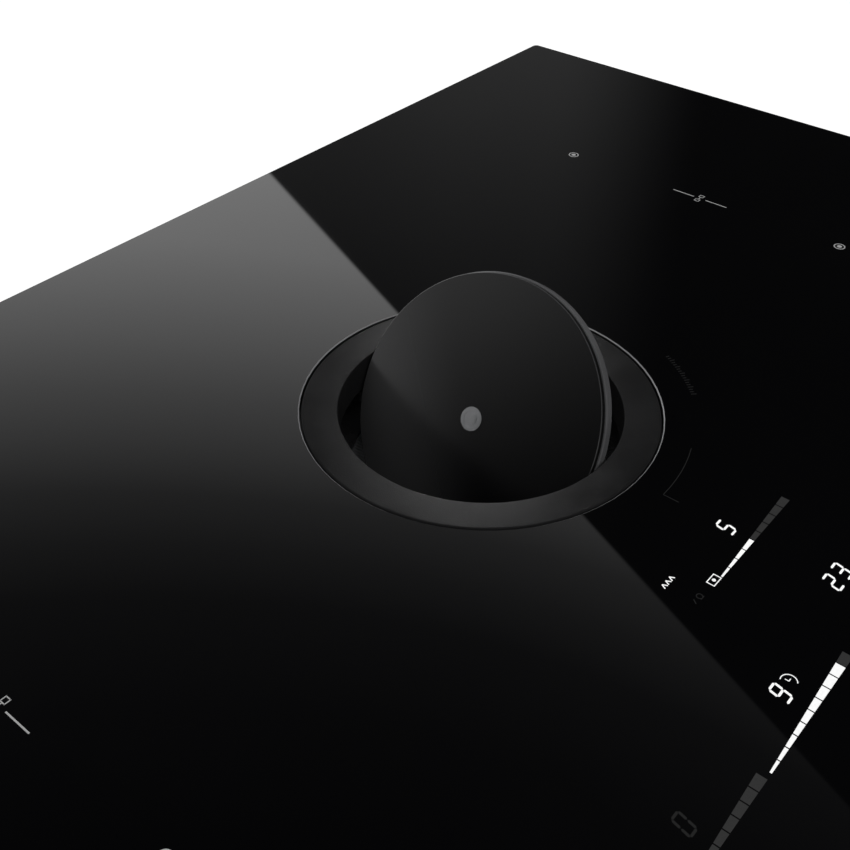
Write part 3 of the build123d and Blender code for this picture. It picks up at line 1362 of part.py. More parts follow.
def damper_levels():
    """Height of each damper blade's pin, from the top down."""
    top = spigot_top() - SPIGOT_T - DAMPER_BARREL_R - FIT
    pitch = (spigot_top() - 2 * SPIGOT_T) / DAMPER_BLADES
    return [top - k * pitch for k in range(DAMPER_BLADES)]


def outlet_duct():
    """The duct that widens from the blower's mouth to the flat-channel spigot."""
    mouth_top = BLOWER_Z + SCROLL_SHIFT_Z + BLOWER_T

    def slab(inset, y):
        w, h = BLOWER_W - 2 * inset, mouth_top - 2 * inset
        near = Pos(BLOWER_MID_X, y, mouth_top / 2) * Rot(90, 0, 0) * Rectangle(w, h)
        return near

    def wide(inset, y):
        w, h = SPIGOT_W - 2 * inset, SPIGOT_H - 2 * inset
        return Pos(BLOWER_MID_X, y, SPIGOT_H / 2) * Rot(90, 0, 0) * Rectangle(w, h)

    flare = loft([slab(0, BLOWER_MOUTH_Y), wide(0, SPIGOT_START_Y)], ruled=True)
    flare -= loft([slab(BLOWER_T, BLOWER_MOUTH_Y), wide(SPIGOT_T, SPIGOT_START_Y)], ruled=True)
    x0, x1 = BLOWER_MID_X - SPIGOT_W / 2, BLOWER_MID_X + SPIGOT_W / 2
    t = SPIGOT_T
    spigot = block(x0, x1, SPIGOT_START_Y, SPIGOT_END_Y, 0, SPIGOT_H)
    spigot -= block(x0 + t, x1 - t, SPIGOT_START_Y, SPIGOT_END_Y, t, SPIGOT_H - t)
    duct = flare + spigot
    blade_back = DAMPER_Y - DAMPER_BARREL_R - FIT
    for z in damper_levels()[1:]:
        y0 = blade_back - DAMPER_BAR
        duct += block(x0, x1, y0, blade_back, z - DAMPER_BAR, z + DAMPER_BAR)
    low_y = DAMPER_Y - DAMPER_T / 2 - FIT
    duct += block(x0, x1, low_y - DAMPER_BAR, low_y, 0, t + 2 * DAMPER_BAR)
    for z in damper_levels():
        duct -= rod_x(DAMPER_PIN_R + RUN_CLEAR, x0, x1, DAMPER_Y, z)
    return duct


def damper_blade(level):
    """One gravity flap of the non-return damper, with its barrel and end pins."""
    z = damper_levels()[level]
    pitch = (spigot_top() - 2 * SPIGOT_T) / DAMPER_BLADES
    half = SPIGOT_W / 2 - SPIGOT_T - DAMPER_SIDE_GAP
    x0, x1 = BLOWER_MID_X - half, BLOWER_MID_X + half
    drop = pitch - 2 * DAMPER_BARREL_R - FIT
    y0, y1 = DAMPER_Y - DAMPER_T / 2, DAMPER_Y + DAMPER_T / 2
    blade = block(x0, x1, y0, y1, z - drop, z)
    blade += rod_x(DAMPER_BARREL_R, x0, x1, DAMPER_Y, z)
    reach = DAMPER_SIDE_GAP + SPIGOT_T - FIT
    return blade + rod_x(DAMPER_PIN_R, x0 - reach, x1 + reach, DAMPER_Y, z)


# ---------------------------------------------------------------- all nodes
def main():
    """Writes every node's file."""
    save("glass_top", glass_top())
    save("glass_rim_seal", glass_rim_seal())
    save("pan_bond", pan_bond())
    save("throat_collar", throat_collar())
    save("collar_gasket", collar_gasket())
    save("ring_trim", ring_trim())
    save("ring_seal", ring_seal())
    save("pivot_bushes", *pivot_bushes())
    save("flap_glass", tilted(flap_glass()))
    save("flap_badge", tilted(flap_badge()))
    save("flap_bond", tilted(flap_bond()))
    save("flap_frame", tilted(flap_frame()))
    save("flap_axles", *[tilted(axle) for axle in flap_axles()])
    save("flap_sector_gear", tilted(flap_sector_gear()))
    save("drive_pinion", drive_pinion())
    save("flap_motor", flap_motor())
    save("flap_motor_screws", *flap_motor_screws())
    save("filter_basket", filter_basket())
    save("filter_floor", filter_floor())
    save("filter_sleeve", filter_sleeve())
    save("drip_bowl", drip_bowl())
    save("base_pan", pan_floor(), *pan_standoffs(), *pan_sides())
    save("worktop_clips", *worktop_clips())
    save("coil_windings", *coil_windings())
    save("mica_sheets", *mica_sheets())
    save("coil_carriers", *coil_carriers())
    save("ferrite_bars", *ferrite_bars())
    save("coil_sensors", *coil_sensors())
    save("coil_plates", *coil_plates())
    save("power_boards", *power_boards())
    save("heatsinks", *heatsinks())
    save("board_components", *board_components())
    save("cooling_fan_frames", *cooling_fan_frames())
    save("cooling_rotor_left", cooling_rotor(-1))
    save("cooling_rotor_right", cooling_rotor(1))
    save("control_tray", control_tray())
    save("control_board", control_board())
    save("display_modules", *display_modules())
    save("touch_pads", *touch_pads())
    save("cable_gland", cable_gland())
    save("terminal_block", terminal_block())
    save("plenum_lid", plenum_lid())
    save("pan_gasket", pan_gasket())
    save("plenum_tub", plenum_tub())
    save("pan_screws", *clip_screws(), *lid_screws())
    save("blower_shell_inner", blower_shell_inner())
    save("blower_shell_outer", blower_shell_outer())
    save("blower_screws", *blower_screws())
    save("inlet_ring", inlet_ring())
    save("impeller", impeller())
    save("impeller_blades", *impeller_blades())
    save("fan_shaft", fan_shaft())
    save("impeller_nut", *impeller_nut())
    save("fan_motor", fan_motor())
    save("fan_motor_grommets", *fan_motor_grommets())
    save("fan_motor_screws", *fan_motor_screws())
    save("blower_hanger", blower_hanger())
    save("outlet_duct", outlet_duct())
    save("damper_upper", damper_blade(0))
    save("damper_lower", damper_blade(1))


main()
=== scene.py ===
import logging
import math
from dataclasses import dataclass, field
from enum import Enum
from typing import ClassVar, Iterator, Optional, Sequence, Union

import bpy
from mathutils import Matrix, Vector


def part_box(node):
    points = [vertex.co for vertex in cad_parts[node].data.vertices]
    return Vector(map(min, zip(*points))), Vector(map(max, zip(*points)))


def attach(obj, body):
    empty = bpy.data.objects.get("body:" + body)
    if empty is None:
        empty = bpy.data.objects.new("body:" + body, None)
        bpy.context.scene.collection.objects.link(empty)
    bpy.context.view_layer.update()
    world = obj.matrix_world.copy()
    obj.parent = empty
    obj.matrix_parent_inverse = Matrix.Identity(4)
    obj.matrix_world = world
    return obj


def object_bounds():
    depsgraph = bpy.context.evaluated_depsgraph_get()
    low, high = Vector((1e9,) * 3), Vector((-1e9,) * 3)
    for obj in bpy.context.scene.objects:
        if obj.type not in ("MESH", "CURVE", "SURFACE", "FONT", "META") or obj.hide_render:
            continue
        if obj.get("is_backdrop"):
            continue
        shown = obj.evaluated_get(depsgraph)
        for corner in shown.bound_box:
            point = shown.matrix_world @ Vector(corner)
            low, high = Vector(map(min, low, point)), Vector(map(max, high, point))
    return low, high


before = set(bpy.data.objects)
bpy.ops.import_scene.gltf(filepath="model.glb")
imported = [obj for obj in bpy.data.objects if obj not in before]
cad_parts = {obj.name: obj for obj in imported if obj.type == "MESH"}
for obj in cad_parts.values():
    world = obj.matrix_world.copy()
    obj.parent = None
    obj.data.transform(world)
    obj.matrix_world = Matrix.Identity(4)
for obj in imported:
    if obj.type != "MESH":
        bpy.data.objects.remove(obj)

LOG = logging.getLogger("cooktop")
MM = 0.001
Colour = tuple[float, float, float]
Point2 = tuple[float, float]
Point3 = tuple[float, float, float]
Term = Union[float, "Wire"]


class Body(Enum):
    """The bodies that the new pieces ride on."""

    HOB = "hob"


class Slot(Enum):
    """The record's material slots."""

    GLASS = "black_glass"
    FOAM = "foam"
    SILICONE = "silicone"
    RING = "ring_black"
    BLACK = "black_plastic"
    GREY = "grey_plastic"
    WHITE = "white_plastic"
    BUSH = "bush_plastic"
    BRIGHT = "bright_metal"
    STEEL = "steel"
    SPRING = "spring_steel"
    ZINC = "zinc_steel"
    MESH = "mesh_metal"
    ALLOY = "alloy"
    COPPER = "copper"
    MICA = "mica"
    FERRITE = "ferrite"
    BOARD = "board_green"


# ---------------------------------------------------------------- shader maths
class Wire:
    """An output of a shader node; Python's operators on it add Math nodes."""

    def __init__(self, graph: "Graph", socket: bpy.types.NodeSocket) -> None:
        """Wraps an output socket of the graph."""
        self.graph = graph
        self.socket = socket

    def math(self, operation: str, *terms: Term) -> "Wire":
        """Applies a Math operation to the given terms.

        Args:
            operation: the Math node's operation.
            terms: the values or wires it works on, in order.

        Returns:
            The node's value.
        """
        inputs = dict(enumerate(terms))
        return self.graph.node("ShaderNodeMath", {"operation": operation}, inputs)

    def __add__(self, other: Term) -> "Wire":
        """The sum."""
        return self.math("ADD", self, other)

    def __radd__(self, other: Term) -> "Wire":
        """The sum, reflected."""
        return self.math("ADD", other, self)

    def __sub__(self, other: Term) -> "Wire":
        """The difference."""
        return self.math("SUBTRACT", self, other)

    def __rsub__(self, other: Term) -> "Wire":
        """The difference, reflected."""
        return self.math("SUBTRACT", other, self)

    def __mul__(self, other: Term) -> "Wire":
        """The product."""
        return self.math("MULTIPLY", self, other)

    def __rmul__(self, other: Term) -> "Wire":
        """The product, reflected."""
        return self.math("MULTIPLY", other, self)

    def __truediv__(self, other: Term) -> "Wire":
        """The quotient."""
        return self.math("DIVIDE", self, other)

    def __rtruediv__(self, other: Term) -> "Wire":
        """The quotient, reflected."""
        return self.math("DIVIDE", other, self)

    def __pow__(self, other: Term) -> "Wire":
        """The power."""
        return self.math("POWER", self, other)

    def __neg__(self) -> "Wire":
        """The opposite."""
        return self.math("MULTIPLY", self, -1.0)

    def __abs__(self) -> "Wire":
        """The size without its sign."""
        return self.math("ABSOLUTE", self)

    def sine(self) -> "Wire":
        """The sine."""
        return self.math("SINE", self)

    def larger(self, other: Term) -> "Wire":
        """The larger of the two."""
        return self.math("MAXIMUM", self, other)

    def above(self, level: Term) -> "Wire":
        """One where it exceeds the level, otherwise nought."""
        return self.math("GREATER_THAN", self, level)

    def fade(self, low: float, high: float) -> "Wire":
        """A smooth rise from nought at low to one at high."""
        settings = {"interpolation_type": "SMOOTHSTEP"}
        inputs = {"Value": self, "From Min": low, "From Max": high}
        return self.graph.node("ShaderNodeMapRange", settings, inputs)


class Graph:
    """The node tree of a material or of the world."""

    def __init__(self, tree: bpy.types.NodeTree) -> None:
        """Empties the tree, ready to be drawn."""
        self.tree = tree
        tree.nodes.clear()

    def node(
        self,
        kind: str,
        settings: Optional[dict[str, object]] = None,
        inputs: Optional[dict[Union[int, str], object]] = None,
        out: Union[int, str] = 0,
    ) -> Wire:
        """Adds a node.

        Args:
            kind: the node's type.
            settings: its settings, set first; "stops" gives a ramp its positions and colours.
            inputs: a value or a wire for each socket, by name or number.
            out: the output that is wanted, by name or number.

        Returns:
            That output.
        """
        made = self.tree.nodes.new(kind)
        for name, value in (settings or {}).items():
            if name == "stops":
                self._set_stops(made.color_ramp, value)
            else:
                setattr(made, name, value)
        for key, value in (inputs or {}).items():
            socket = self._find(made.inputs, key)
            if isinstance(value, Wire):
                self.tree.links.new(value.socket, socket)
            elif isinstance(value, tuple) and len(value) == 3 and socket.type == "RGBA":
                socket.default_value = (*value, 1.0)
            else:
                socket.default_value = value
        return Wire(self, self._find(made.outputs, out))

    @staticmethod
    def _set_stops(ramp: bpy.types.ColorRamp, stops: Sequence[tuple[float, Colour]]) -> None:
        """Gives a ramp its stops.

        Args:
            ramp: the ramp.
            stops: the position and colour of each stop.
        """
        while len(ramp.elements) < len(stops):
            ramp.elements.new(1.0)
        for element, (place, colour) in zip(ramp.elements, stops):
            element.position = place
            element.color = (*colour, 1.0)

    @staticmethod
    def _find(sockets: bpy.types.NodeInputs, key: Union[int, str]) -> bpy.types.NodeSocket:
        """Finds a socket.

        Args:
            sockets: the sockets of a node.
            key: its number, identifier or name.

        Returns:
            The socket.
        """
        if isinstance(key, int):
            return sockets[key]
        for socket in sockets:
            if socket.identifier == key:
                return socket
        return sockets[key]

    def place(self) -> Wire:
        """The point on the piece, in metres in its own frame."""
        return self.node("ShaderNodeTexCoord", None, None, "Object")

    def facing(self) -> Wire:
        """The surface's normal in the piece's own frame."""
        return self.node("ShaderNodeTexCoord", None, None, "Normal")

    def parts(self, vector: Wire) -> tuple[Wire, Wire, Wire]:
        """The three parts of a vector."""
        split = self.node("ShaderNodeSeparateXYZ", None, {0: vector}).socket.node
        return tuple(Wire(self, split.outputs[k]) for k in range(3))

    def join(self, x: Term, y: Term, z: Term) -> Wire:
        """A vector from its parts."""
        return self.node("ShaderNodeCombineXYZ", None, {0: x, 1: y, 2: z})

    def scaled(self, vector: Wire, by: Point3) -> Wire:
        """A vector with each part multiplied."""
        return self.node("ShaderNodeVectorMath", {"operation": "MULTIPLY"}, {0: vector, 1: by})

    def along(self, vector: Wire, axis: Point3) -> Wire:
        """How far a vector reaches along an axis."""
        settings = {"operation": "DOT_PRODUCT"}
        return self.node("ShaderNodeVectorMath", settings, {0: vector, 1: axis}, "Value")

    def noise(self, at: Wire, scale: float, detail: float = 2.0, rough: float = 0.5) -> Wire:
        """Soft random variation between about 0.3 and 0.7."""
        inputs = {"Vector": at, "Scale": scale, "Detail": detail, "Roughness": rough}
        return self.node("ShaderNodeTexNoise", None, inputs, "Fac")

    def cells(self, at: Wire, scale: float, out: str = "Distance", feature: str = "F1") -> Wire:
        """Cellular pattern: distance to the nearest seed, or a colour for each cell."""
        inputs = {"Vector": at, "Scale": scale}
        return self.node("ShaderNodeTexVoronoi", {"feature": feature}, inputs, out)

    def mixed(self, mask: Term, low: Union[Colour, Wire], high: Union[Colour, Wire]) -> Wire:
        """A colour between two, by a mask."""
        inputs = {"Factor_Float": mask, "A_Color": low, "B_Color": high}
        return self.node("ShaderNodeMix", {"data_type": "RGBA"}, inputs, "Result_Color")

    def between(self, mask: Wire, low: Term, high: Term) -> Wire:
        """A value between two, by a mask."""
        return mask * high + (1.0 - mask) * low

    def bump(self, height: Wire, depth: float, strength: float = 1.0) -> Wire:
        """A normal shaped by a height of that depth in metres."""
        inputs = {"Height": height, "Distance": depth, "Strength": strength}
        return self.node("ShaderNodeBump", None, inputs)

    def surface(self, **sockets: object) -> Wire:
        """The main shader; a socket's name is written with underscores for its spaces."""
        inputs = {name.replace("_", " "): value for name, value in sockets.items()}
        return self.node("ShaderNodeBsdfPrincipled", None, inputs)

    def close(self, shader: Wire, kind: str = "ShaderNodeOutputMaterial") -> None:
        """Sends a shader to the tree's output."""
        made = self.tree.nodes.new(kind)
        self.tree.links.new(shader.socket, made.inputs["Surface"])


# ---------------------------------------------------------------- finishes
@dataclass(frozen=True)
class Finish:
    """A surface finish; each kind draws its own shader.

    Attributes:
        label: the material's name.
        slot: the record's slot that it belongs to; not used.
    """

    label: str
    slot: Slot
    made: ClassVar[dict["Finish", bpy.types.Material]] = {}

    def draw(self, graph: Graph) -> Wire:
        """Draws the shader and returns it.

        Args:
            graph: the material's node tree.

        Returns:
            The shader.
        """
        raise NotImplementedError

    def material(self) -> bpy.types.Material:
        """The finish's material, made the first time it is asked for."""
        if self not in Finish.made:
            material = bpy.data.materials.new(self.label)
            material.use_nodes = True
            graph = Graph(material.node_tree)
            graph.close(self.draw(graph))
            Finish.made[self] = material
        return Finish.made[self]

    def dress(self, *nodes: str) -> None:
        """Puts the finish on carried-over nodes."""
        for name in nodes:
            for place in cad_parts[name].material_slots:
                place.material = self.material()


@dataclass(frozen=True)
class BlackGlass(Finish):
    """Black glass-ceramic: mirror face, ground bevel painted lighter as a highlight, dimpled
    underside.

    Attributes:
        up: the direction that the polished face looks in.
        bevel_highlight: brightness of the ground bevel, raised as a painted highlight.
        cloud_and_painted_reflection: brightness of the painted reflection on its lower back half, or
            nought.
        rough: roughness of the face.
    """

    up: Point3 = (0.0, 0.0, 1.0)
    bevel_highlight: float = 0.22
    cloud_and_painted_reflection: float = 0.0
    rough: float = 0.012
    painted_reflection_level: float = 0.18  # height in metres at which the painted reflection's edge crosses the middle
    painted_reflection_slope: float = 0.85  # how far that edge moves back with height

    def draw(self, graph: Graph) -> Wire:
        """Draws the face, bevel and underside by the way each looks.

        Args:
            graph: the material's node tree.

        Returns:
            The shader.
        """
        place = graph.place()
        up = graph.along(graph.facing(), self.up)
        bevel_highlight = up.fade(0.3, 0.5) * (1.0 - up.fade(0.85, 0.97))
        wall = 1.0 - abs(up).fade(0.2, 0.4)
        under = (-up).fade(0.6, 0.8)
        wiped = graph.noise(place, 7.0, 4.0, 0.6)
        base = graph.mixed(wiped, (0.0010, 0.0010, 0.0012), (0.0016, 0.0016, 0.0019))
        # painted reflection: a paler base colour over the lower back half stands for the soft
        # reflection on the open flap
        if self.cloud_and_painted_reflection:
            _, y, z = graph.parts(place)
            edge = y - (z - self.painted_reflection_level) * self.painted_reflection_slope
            painted_reflection = edge.fade(-0.03, 0.05) * (0.8 + wiped * 0.4)
            base = graph.mixed(painted_reflection, base, (self.cloud_and_painted_reflection, self.cloud_and_painted_reflection, self.cloud_and_painted_reflection * 1.02))
        # painted highlight: the bevel faces take a light grey base colour for the bright line of light
        # along the edge
        base = graph.mixed(bevel_highlight, base, (self.bevel_highlight, self.bevel_highlight, self.bevel_highlight * 1.03))
        base = graph.mixed(under, base, (0.014, 0.014, 0.015))
        rough = self.rough + wiped * 0.014
        rough = graph.between(bevel_highlight, rough, 0.3)
        rough = graph.between(under.larger(wall), rough, 0.6)
        dimple = graph.cells(place, 380.0) * under
        normal = graph.bump(dimple, 0.0003, 0.6)
        return graph.surface(Base_Color=base, Roughness=rough, Normal=normal, IOR=1.5)


@dataclass(frozen=True)
class Moulded(Finish):
    """Moulded plastic with a spark-eroded grain.

    Attributes:
        colour: the plastic's colour.
        rough: its mean roughness.
        grain: grains in a metre.
        depth: depth of the grain in metres.
        sheen: how far the colour varies, as a share.
    """

    colour: Colour = (0.03, 0.03, 0.031)
    rough: float = 0.45
    grain: float = 1500.0
    depth: float = 0.00004
    sheen: float = 0.2

    def draw(self, graph: Graph) -> Wire:
        """Draws the grain, flow marks and slight polish of handling.

        Args:
            graph: the material's node tree.

        Returns:
            The shader.
        """
        place = graph.place()
        grain = graph.noise(place, self.grain, 3.0, 0.6)
        pits = graph.cells(place, self.grain * 0.7)
        flow = graph.noise(graph.scaled(place, (18.0, 18.0, 55.0)), 1.0, 4.0, 0.55)
        low = tuple(c * (1.0 - self.sheen) for c in self.colour)
        high = tuple(c * (1.0 + self.sheen) for c in self.colour)
        base = graph.mixed((flow * 0.7 + grain * 0.3).fade(0.3, 0.7), low, high)
        rough = self.rough - 0.06 + flow * 0.12 + (grain - 0.5) * 0.1
        normal = graph.bump(grain * 0.6 + pits * 0.4, self.depth, 0.8)
        return graph.surface(Base_Color=base, Roughness=rough, Normal=normal)


@dataclass(frozen=True)
class RingPlastic(Finish):
    """The trim ring's matt black grain, smoother at its two edges, which are painted lighter as a
    highlight.

    Attributes:
        centre: the ring's axis in X and Y, in metres.
        inner: the bore's radius in metres.
        outer: the rim's radius in metres.
        rough: the roughness of its face.
        sheen: how strongly its face mirrors, one half being usual.
        colour: the colour of its face.
    """

    centre: Point2 = (0.0, -0.0055)
    inner: float = 0.0719
    outer: float = 0.0901
    rough: float = 0.19
    sheen: float = 0.01
    colour: Colour = (0.0075, 0.0075, 0.0077)

    def draw(self, graph: Graph) -> Wire:
        """Draws the grain with both edges smoother, and lighter as a painted highlight.

        Args:
            graph: the material's node tree.

        Returns:
            The shader.
        """
        place = graph.place()
        x, y, _ = graph.parts(place)
        dx, dy = x - self.centre[0], y - self.centre[1]
        radius = (dx * dx + dy * dy) ** 0.5
        outer = radius.fade(self.outer - 0.0012, self.outer - 0.0002)
        inner = 1.0 - radius.fade(self.inner + 0.0001, self.inner + 0.001)
        wear_and_edge_highlight = outer.larger(inner)
        grain = graph.noise(place, 2400.0, 3.0, 0.65)
        pits = graph.cells(place, 1700.0)
        mottle = graph.noise(place, 45.0, 4.0, 0.6)
        low = tuple(c * 0.8 for c in self.colour)
        high = tuple(c * 1.25 for c in self.colour)
        base = graph.mixed(mottle.fade(0.3, 0.7), low, high)
        # painted highlight: the two edges of the face get a lighter colour for the light they catch
        base = graph.mixed(wear_and_edge_highlight * 0.6, base, tuple(c * 2.2 for c in self.colour))
        rough = self.rough + (mottle - 0.5) * 0.06 + (grain - 0.5) * 0.1 - wear_and_edge_highlight * 0.08
        normal = graph.bump(grain * 0.5 + pits * 0.5, 0.00006, 0.9)
        return graph.surface(
            Base_Color=base, Roughness=rough, Normal=normal, Specular_IOR_Level=self.sheen
        )


@dataclass(frozen=True)
class Brushed(Finish):
    """Metal with fine lines along one axis.

    Attributes:
        colour: the metal's colour.
        rough: its mean roughness.
        lines: noise scale along each axis; the smallest is the way the lines run.
        depth: depth of the lines in metres.
    """

    colour: Colour = (0.6, 0.6, 0.61)
    rough: float = 0.32
    lines: Point3 = (12.0, 1400.0, 1400.0)
    depth: float = 0.00001

    def draw(self, graph: Graph) -> Wire:
        """Draws the lines, and duller patches across them.

        Args:
            graph: the material's node tree.

        Returns:
            The shader.
        """
        place = graph.place()
        lines = graph.noise(graph.scaled(place, self.lines), 1.0, 3.0, 0.6)
        patch = graph.noise(place, 40.0, 4.0, 0.6)
        low = tuple(c * 0.8 for c in self.colour)
        base = graph.mixed((lines * 0.6 + patch * 0.4).fade(0.35, 0.6), low, self.colour)
        rough = self.rough + (patch - 0.5) * 0.25 + (lines - 0.5) * 0.2
        normal = graph.bump(lines, self.depth)
        return graph.surface(Base_Color=base, Roughness=rough, Metallic=1.0, Normal=normal)


@dataclass(frozen=True)
class Spun(Finish):
    """Metal turned on a lathe, its lines running round an axis through a point.

    Attributes:
        centre: a point on the axis, in metres.
        axis: the axis's direction.
        colour: the metal's colour.
        rough: its mean roughness.
    """

    centre: Point3 = (0.0, 0.0, 0.0)
    axis: Point3 = (0.0, 0.0, 1.0)
    colour: Colour = (0.75, 0.76, 0.78)
    rough: float = 0.2

    def draw(self, graph: Graph) -> Wire:
        """Draws the turning lines by the distance from the axis.

        Args:
            graph: the material's node tree.

        Returns:
            The shader.
        """
        place = graph.place()
        offset = graph.node(
            "ShaderNodeVectorMath", {"operation": "SUBTRACT"}, {0: place, 1: self.centre}
        )
        far = graph.along(offset, self.axis)
        square = graph.node(
            "ShaderNodeVectorMath", {"operation": "DOT_PRODUCT"}, {0: offset, 1: offset}, "Value"
        )
        radius = (square - far * far).larger(0.0) ** 0.5
        lines = graph.noise(graph.join(radius * 5200.0, far * 5200.0, 0.0), 1.0, 2.0, 0.7)
        patch = graph.noise(place, 90.0, 3.0)
        low = tuple(c * 0.72 for c in self.colour)
        base = graph.mixed(lines.fade(0.3, 0.65), low, self.colour)
        rough = self.rough + (patch - 0.5) * 0.12 + (lines - 0.5) * 0.1
        normal = graph.bump(lines, 0.00001, 0.8)
        return graph.surface(Base_Color=base, Roughness=rough, Metallic=1.0, Normal=normal)


@dataclass(frozen=True)
class Galvanised(Finish):
    """Zinc-coated sheet with its spangle, oil stains and handling scratches."""

    colour: Colour = (0.6, 0.62, 0.64)
    spangle: float = 95.0

    def draw(self, graph: Graph) -> Wire:
        """Draws spangle by cells, then stains and scratches over it.

        Args:
            graph: the material's node tree.

        Returns:
            The shader.
        """
        place = graph.place()
        wander = graph.noise(place, 60.0, 2.0) * 0.006
        bent = graph.node("ShaderNodeVectorMath", {"operation": "ADD"}, {0: place, 1: wander})
        tone, shade, _ = graph.parts(graph.cells(bent, self.spangle, "Color"))
        fine, _, _ = graph.parts(graph.cells(bent, self.spangle * 3.1, "Color"))
        flake = tone * 0.65 + fine * 0.35
        stain = graph.noise(place, 9.0, 5.0, 0.65)
        scratch = graph.noise(graph.scaled(place, (35.0, 900.0, 400.0)), 1.0, 2.0, 0.4)
        scratch = scratch.fade(0.66, 0.74)
        low = tuple(c * 0.7 for c in self.colour)
        base = graph.mixed(flake, low, self.colour)
        base = graph.mixed(stain.fade(0.5, 0.75) * 0.35, base, tuple(c * 0.6 for c in self.colour))
        rough = 0.3 + shade * 0.16 + stain.fade(0.45, 0.7) * 0.12 + scratch * 0.1
        normal = graph.bump(flake * 0.3 + scratch * -0.5, 0.00003, 0.5)
        return graph.surface(Base_Color=base, Roughness=rough, Metallic=1.0, Normal=normal)


@dataclass(frozen=True)
class Rubber(Finish):
    """Silicone or rubber with a dusty bloom."""

    colour: Colour = (0.045, 0.045, 0.047)
    rough: float = 0.7

    def draw(self, graph: Graph) -> Wire:
        """Draws a fine matt skin with paler bloom.

        Args:
            graph: the material's node tree.

        Returns:
            The shader.
        """
        place = graph.place()
        skin = graph.noise(place, 1800.0, 3.0, 0.7)
        bloom = graph.noise(place, 70.0, 5.0, 0.65)
        pale = tuple(c * 1.9 + 0.01 for c in self.colour)
        base = graph.mixed(bloom.fade(0.45, 0.8), self.colour, pale)
        rough = self.rough + (bloom - 0.5) * 0.2
        normal = graph.bump(skin, 0.00005, 0.6)
        return graph.surface(Base_Color=base, Roughness=rough, Normal=normal)


@dataclass(frozen=True)
class Foam(Finish):
    """Closed-cell foam strip."""

    colour: Colour = (0.06, 0.06, 0.06)

    def draw(self, graph: Graph) -> Wire:
        """Draws pores of two sizes, darkened inside as painted shade.

        Args:
            graph: the material's node tree.

        Returns:
            The shader.
        """
        place = graph.place()
        large, small = graph.cells(place, 900.0), graph.cells(place, 2600.0)
        pores = large * 0.7 + small * 0.3
        pore_shade = tuple(c * 0.35 for c in self.colour)
        # painted shade: the base colour is darker in each pore's hollow
        base = graph.mixed(pores.fade(0.1, 0.5), pore_shade, self.colour)
        rough = 0.86 + (pores - 0.4) * 0.15
        normal = graph.bump(pores, 0.0004)
        return graph.surface(Base_Color=base, Roughness=rough, Normal=normal)


@dataclass(frozen=True)
class Litz(Finish):
    """Varnished copper litz wound round the four zones.

    Attributes:
        zone_x: distance of the zones from the middle, in metres.
        back_y: the back zones' middle.
        front_y: the front zones' middle.
    """

    zone_x: float = 0.263
    back_y: float = 0.1175
    front_y: float = -0.077

    def draw(self, graph: Graph) -> Wire:
        """Draws twisted strands round each zone's own middle, with painted shade between the turns.

        Args:
            graph: the material's node tree.

        Returns:
            The shader.
        """
        x, y, z = graph.parts(graph.place())
        back = y.above((self.back_y + self.front_y) / 2)
        dx = abs(x) - self.zone_x
        dy = y - graph.between(back, self.front_y, self.back_y)
        radius = (dx * dx + dy * dy) ** 0.5
        angle = dy.math("ARCTAN2", dy, dx)
        twist = ((angle * 70.0 + radius * 2600.0).sine() + 1.0) * 0.5
        turn = ((radius * 1900.0 + angle).sine() + 1.0) * 0.5
        tone = graph.noise(graph.join(radius * 500.0, angle * 9.0, z * 500.0), 1.0, 3.0)
        base = graph.mixed(twist * 0.6 + tone * 0.4, (0.3, 0.1, 0.035), (0.78, 0.36, 0.17))
        # painted shade: the crevices between turns are darkened in colour
        base = graph.mixed((1.0 - turn.fade(0.05, 0.4)) * 0.8, base, (0.05, 0.02, 0.012))
        rough = 0.28 + tone * 0.25
        normal = graph.bump(twist * 0.5 + turn, 0.0003, 0.8)
        return graph.surface(Base_Color=base, Roughness=rough, Metallic=0.85, Normal=normal)


@dataclass(frozen=True)
class Mica(Finish):
    """Pressed mica sheet with overlapping flakes."""

    colour: Colour = (0.5, 0.44, 0.33)

    def draw(self, graph: Graph) -> Wire:
        """Draws flakes that differ in tone and gloss.

        Args:
            graph: the material's node tree.

        Returns:
            The shader.
        """
        place = graph.place()
        tone, gloss, _ = graph.parts(graph.cells(place, 260.0, "Color"))
        cloud_and_painted_reflection = graph.noise(place, 30.0, 5.0, 0.7)
        low = tuple(c * 0.6 for c in self.colour)
        high = tuple(c * 1.25 for c in self.colour)
        base = graph.mixed(tone * 0.5 + cloud_and_painted_reflection * 0.5, low, high)
        rough = 0.3 + gloss * 0.35
        normal = graph.bump(tone, 0.00004, 0.6)
        return graph.surface(Base_Color=base, Roughness=rough, Normal=normal)


@dataclass(frozen=True)
class Sintered(Finish):
    """Sintered ferrite or ceramic, grey with specks."""

    colour: Colour = (0.07, 0.07, 0.075)

    def draw(self, graph: Graph) -> Wire:
        """Draws specks in a matt body.

        Args:
            graph: the material's node tree.

        Returns:
            The shader.
        """
        place = graph.place()
        speck = graph.cells(place, 2100.0)
        cloud = graph.noise(place, 120.0, 4.0, 0.6)
        pale = tuple(c * 2.0 for c in self.colour)
        base = graph.mixed((1.0 - speck.fade(0.1, 0.3)) * 0.5 + cloud * 0.3, self.colour, pale)
        rough = 0.55 + (cloud - 0.5) * 0.3
        normal = graph.bump(speck * 0.6 + cloud * 0.4, 0.00006)
        return graph.surface(Base_Color=base, Roughness=rough, Normal=normal)


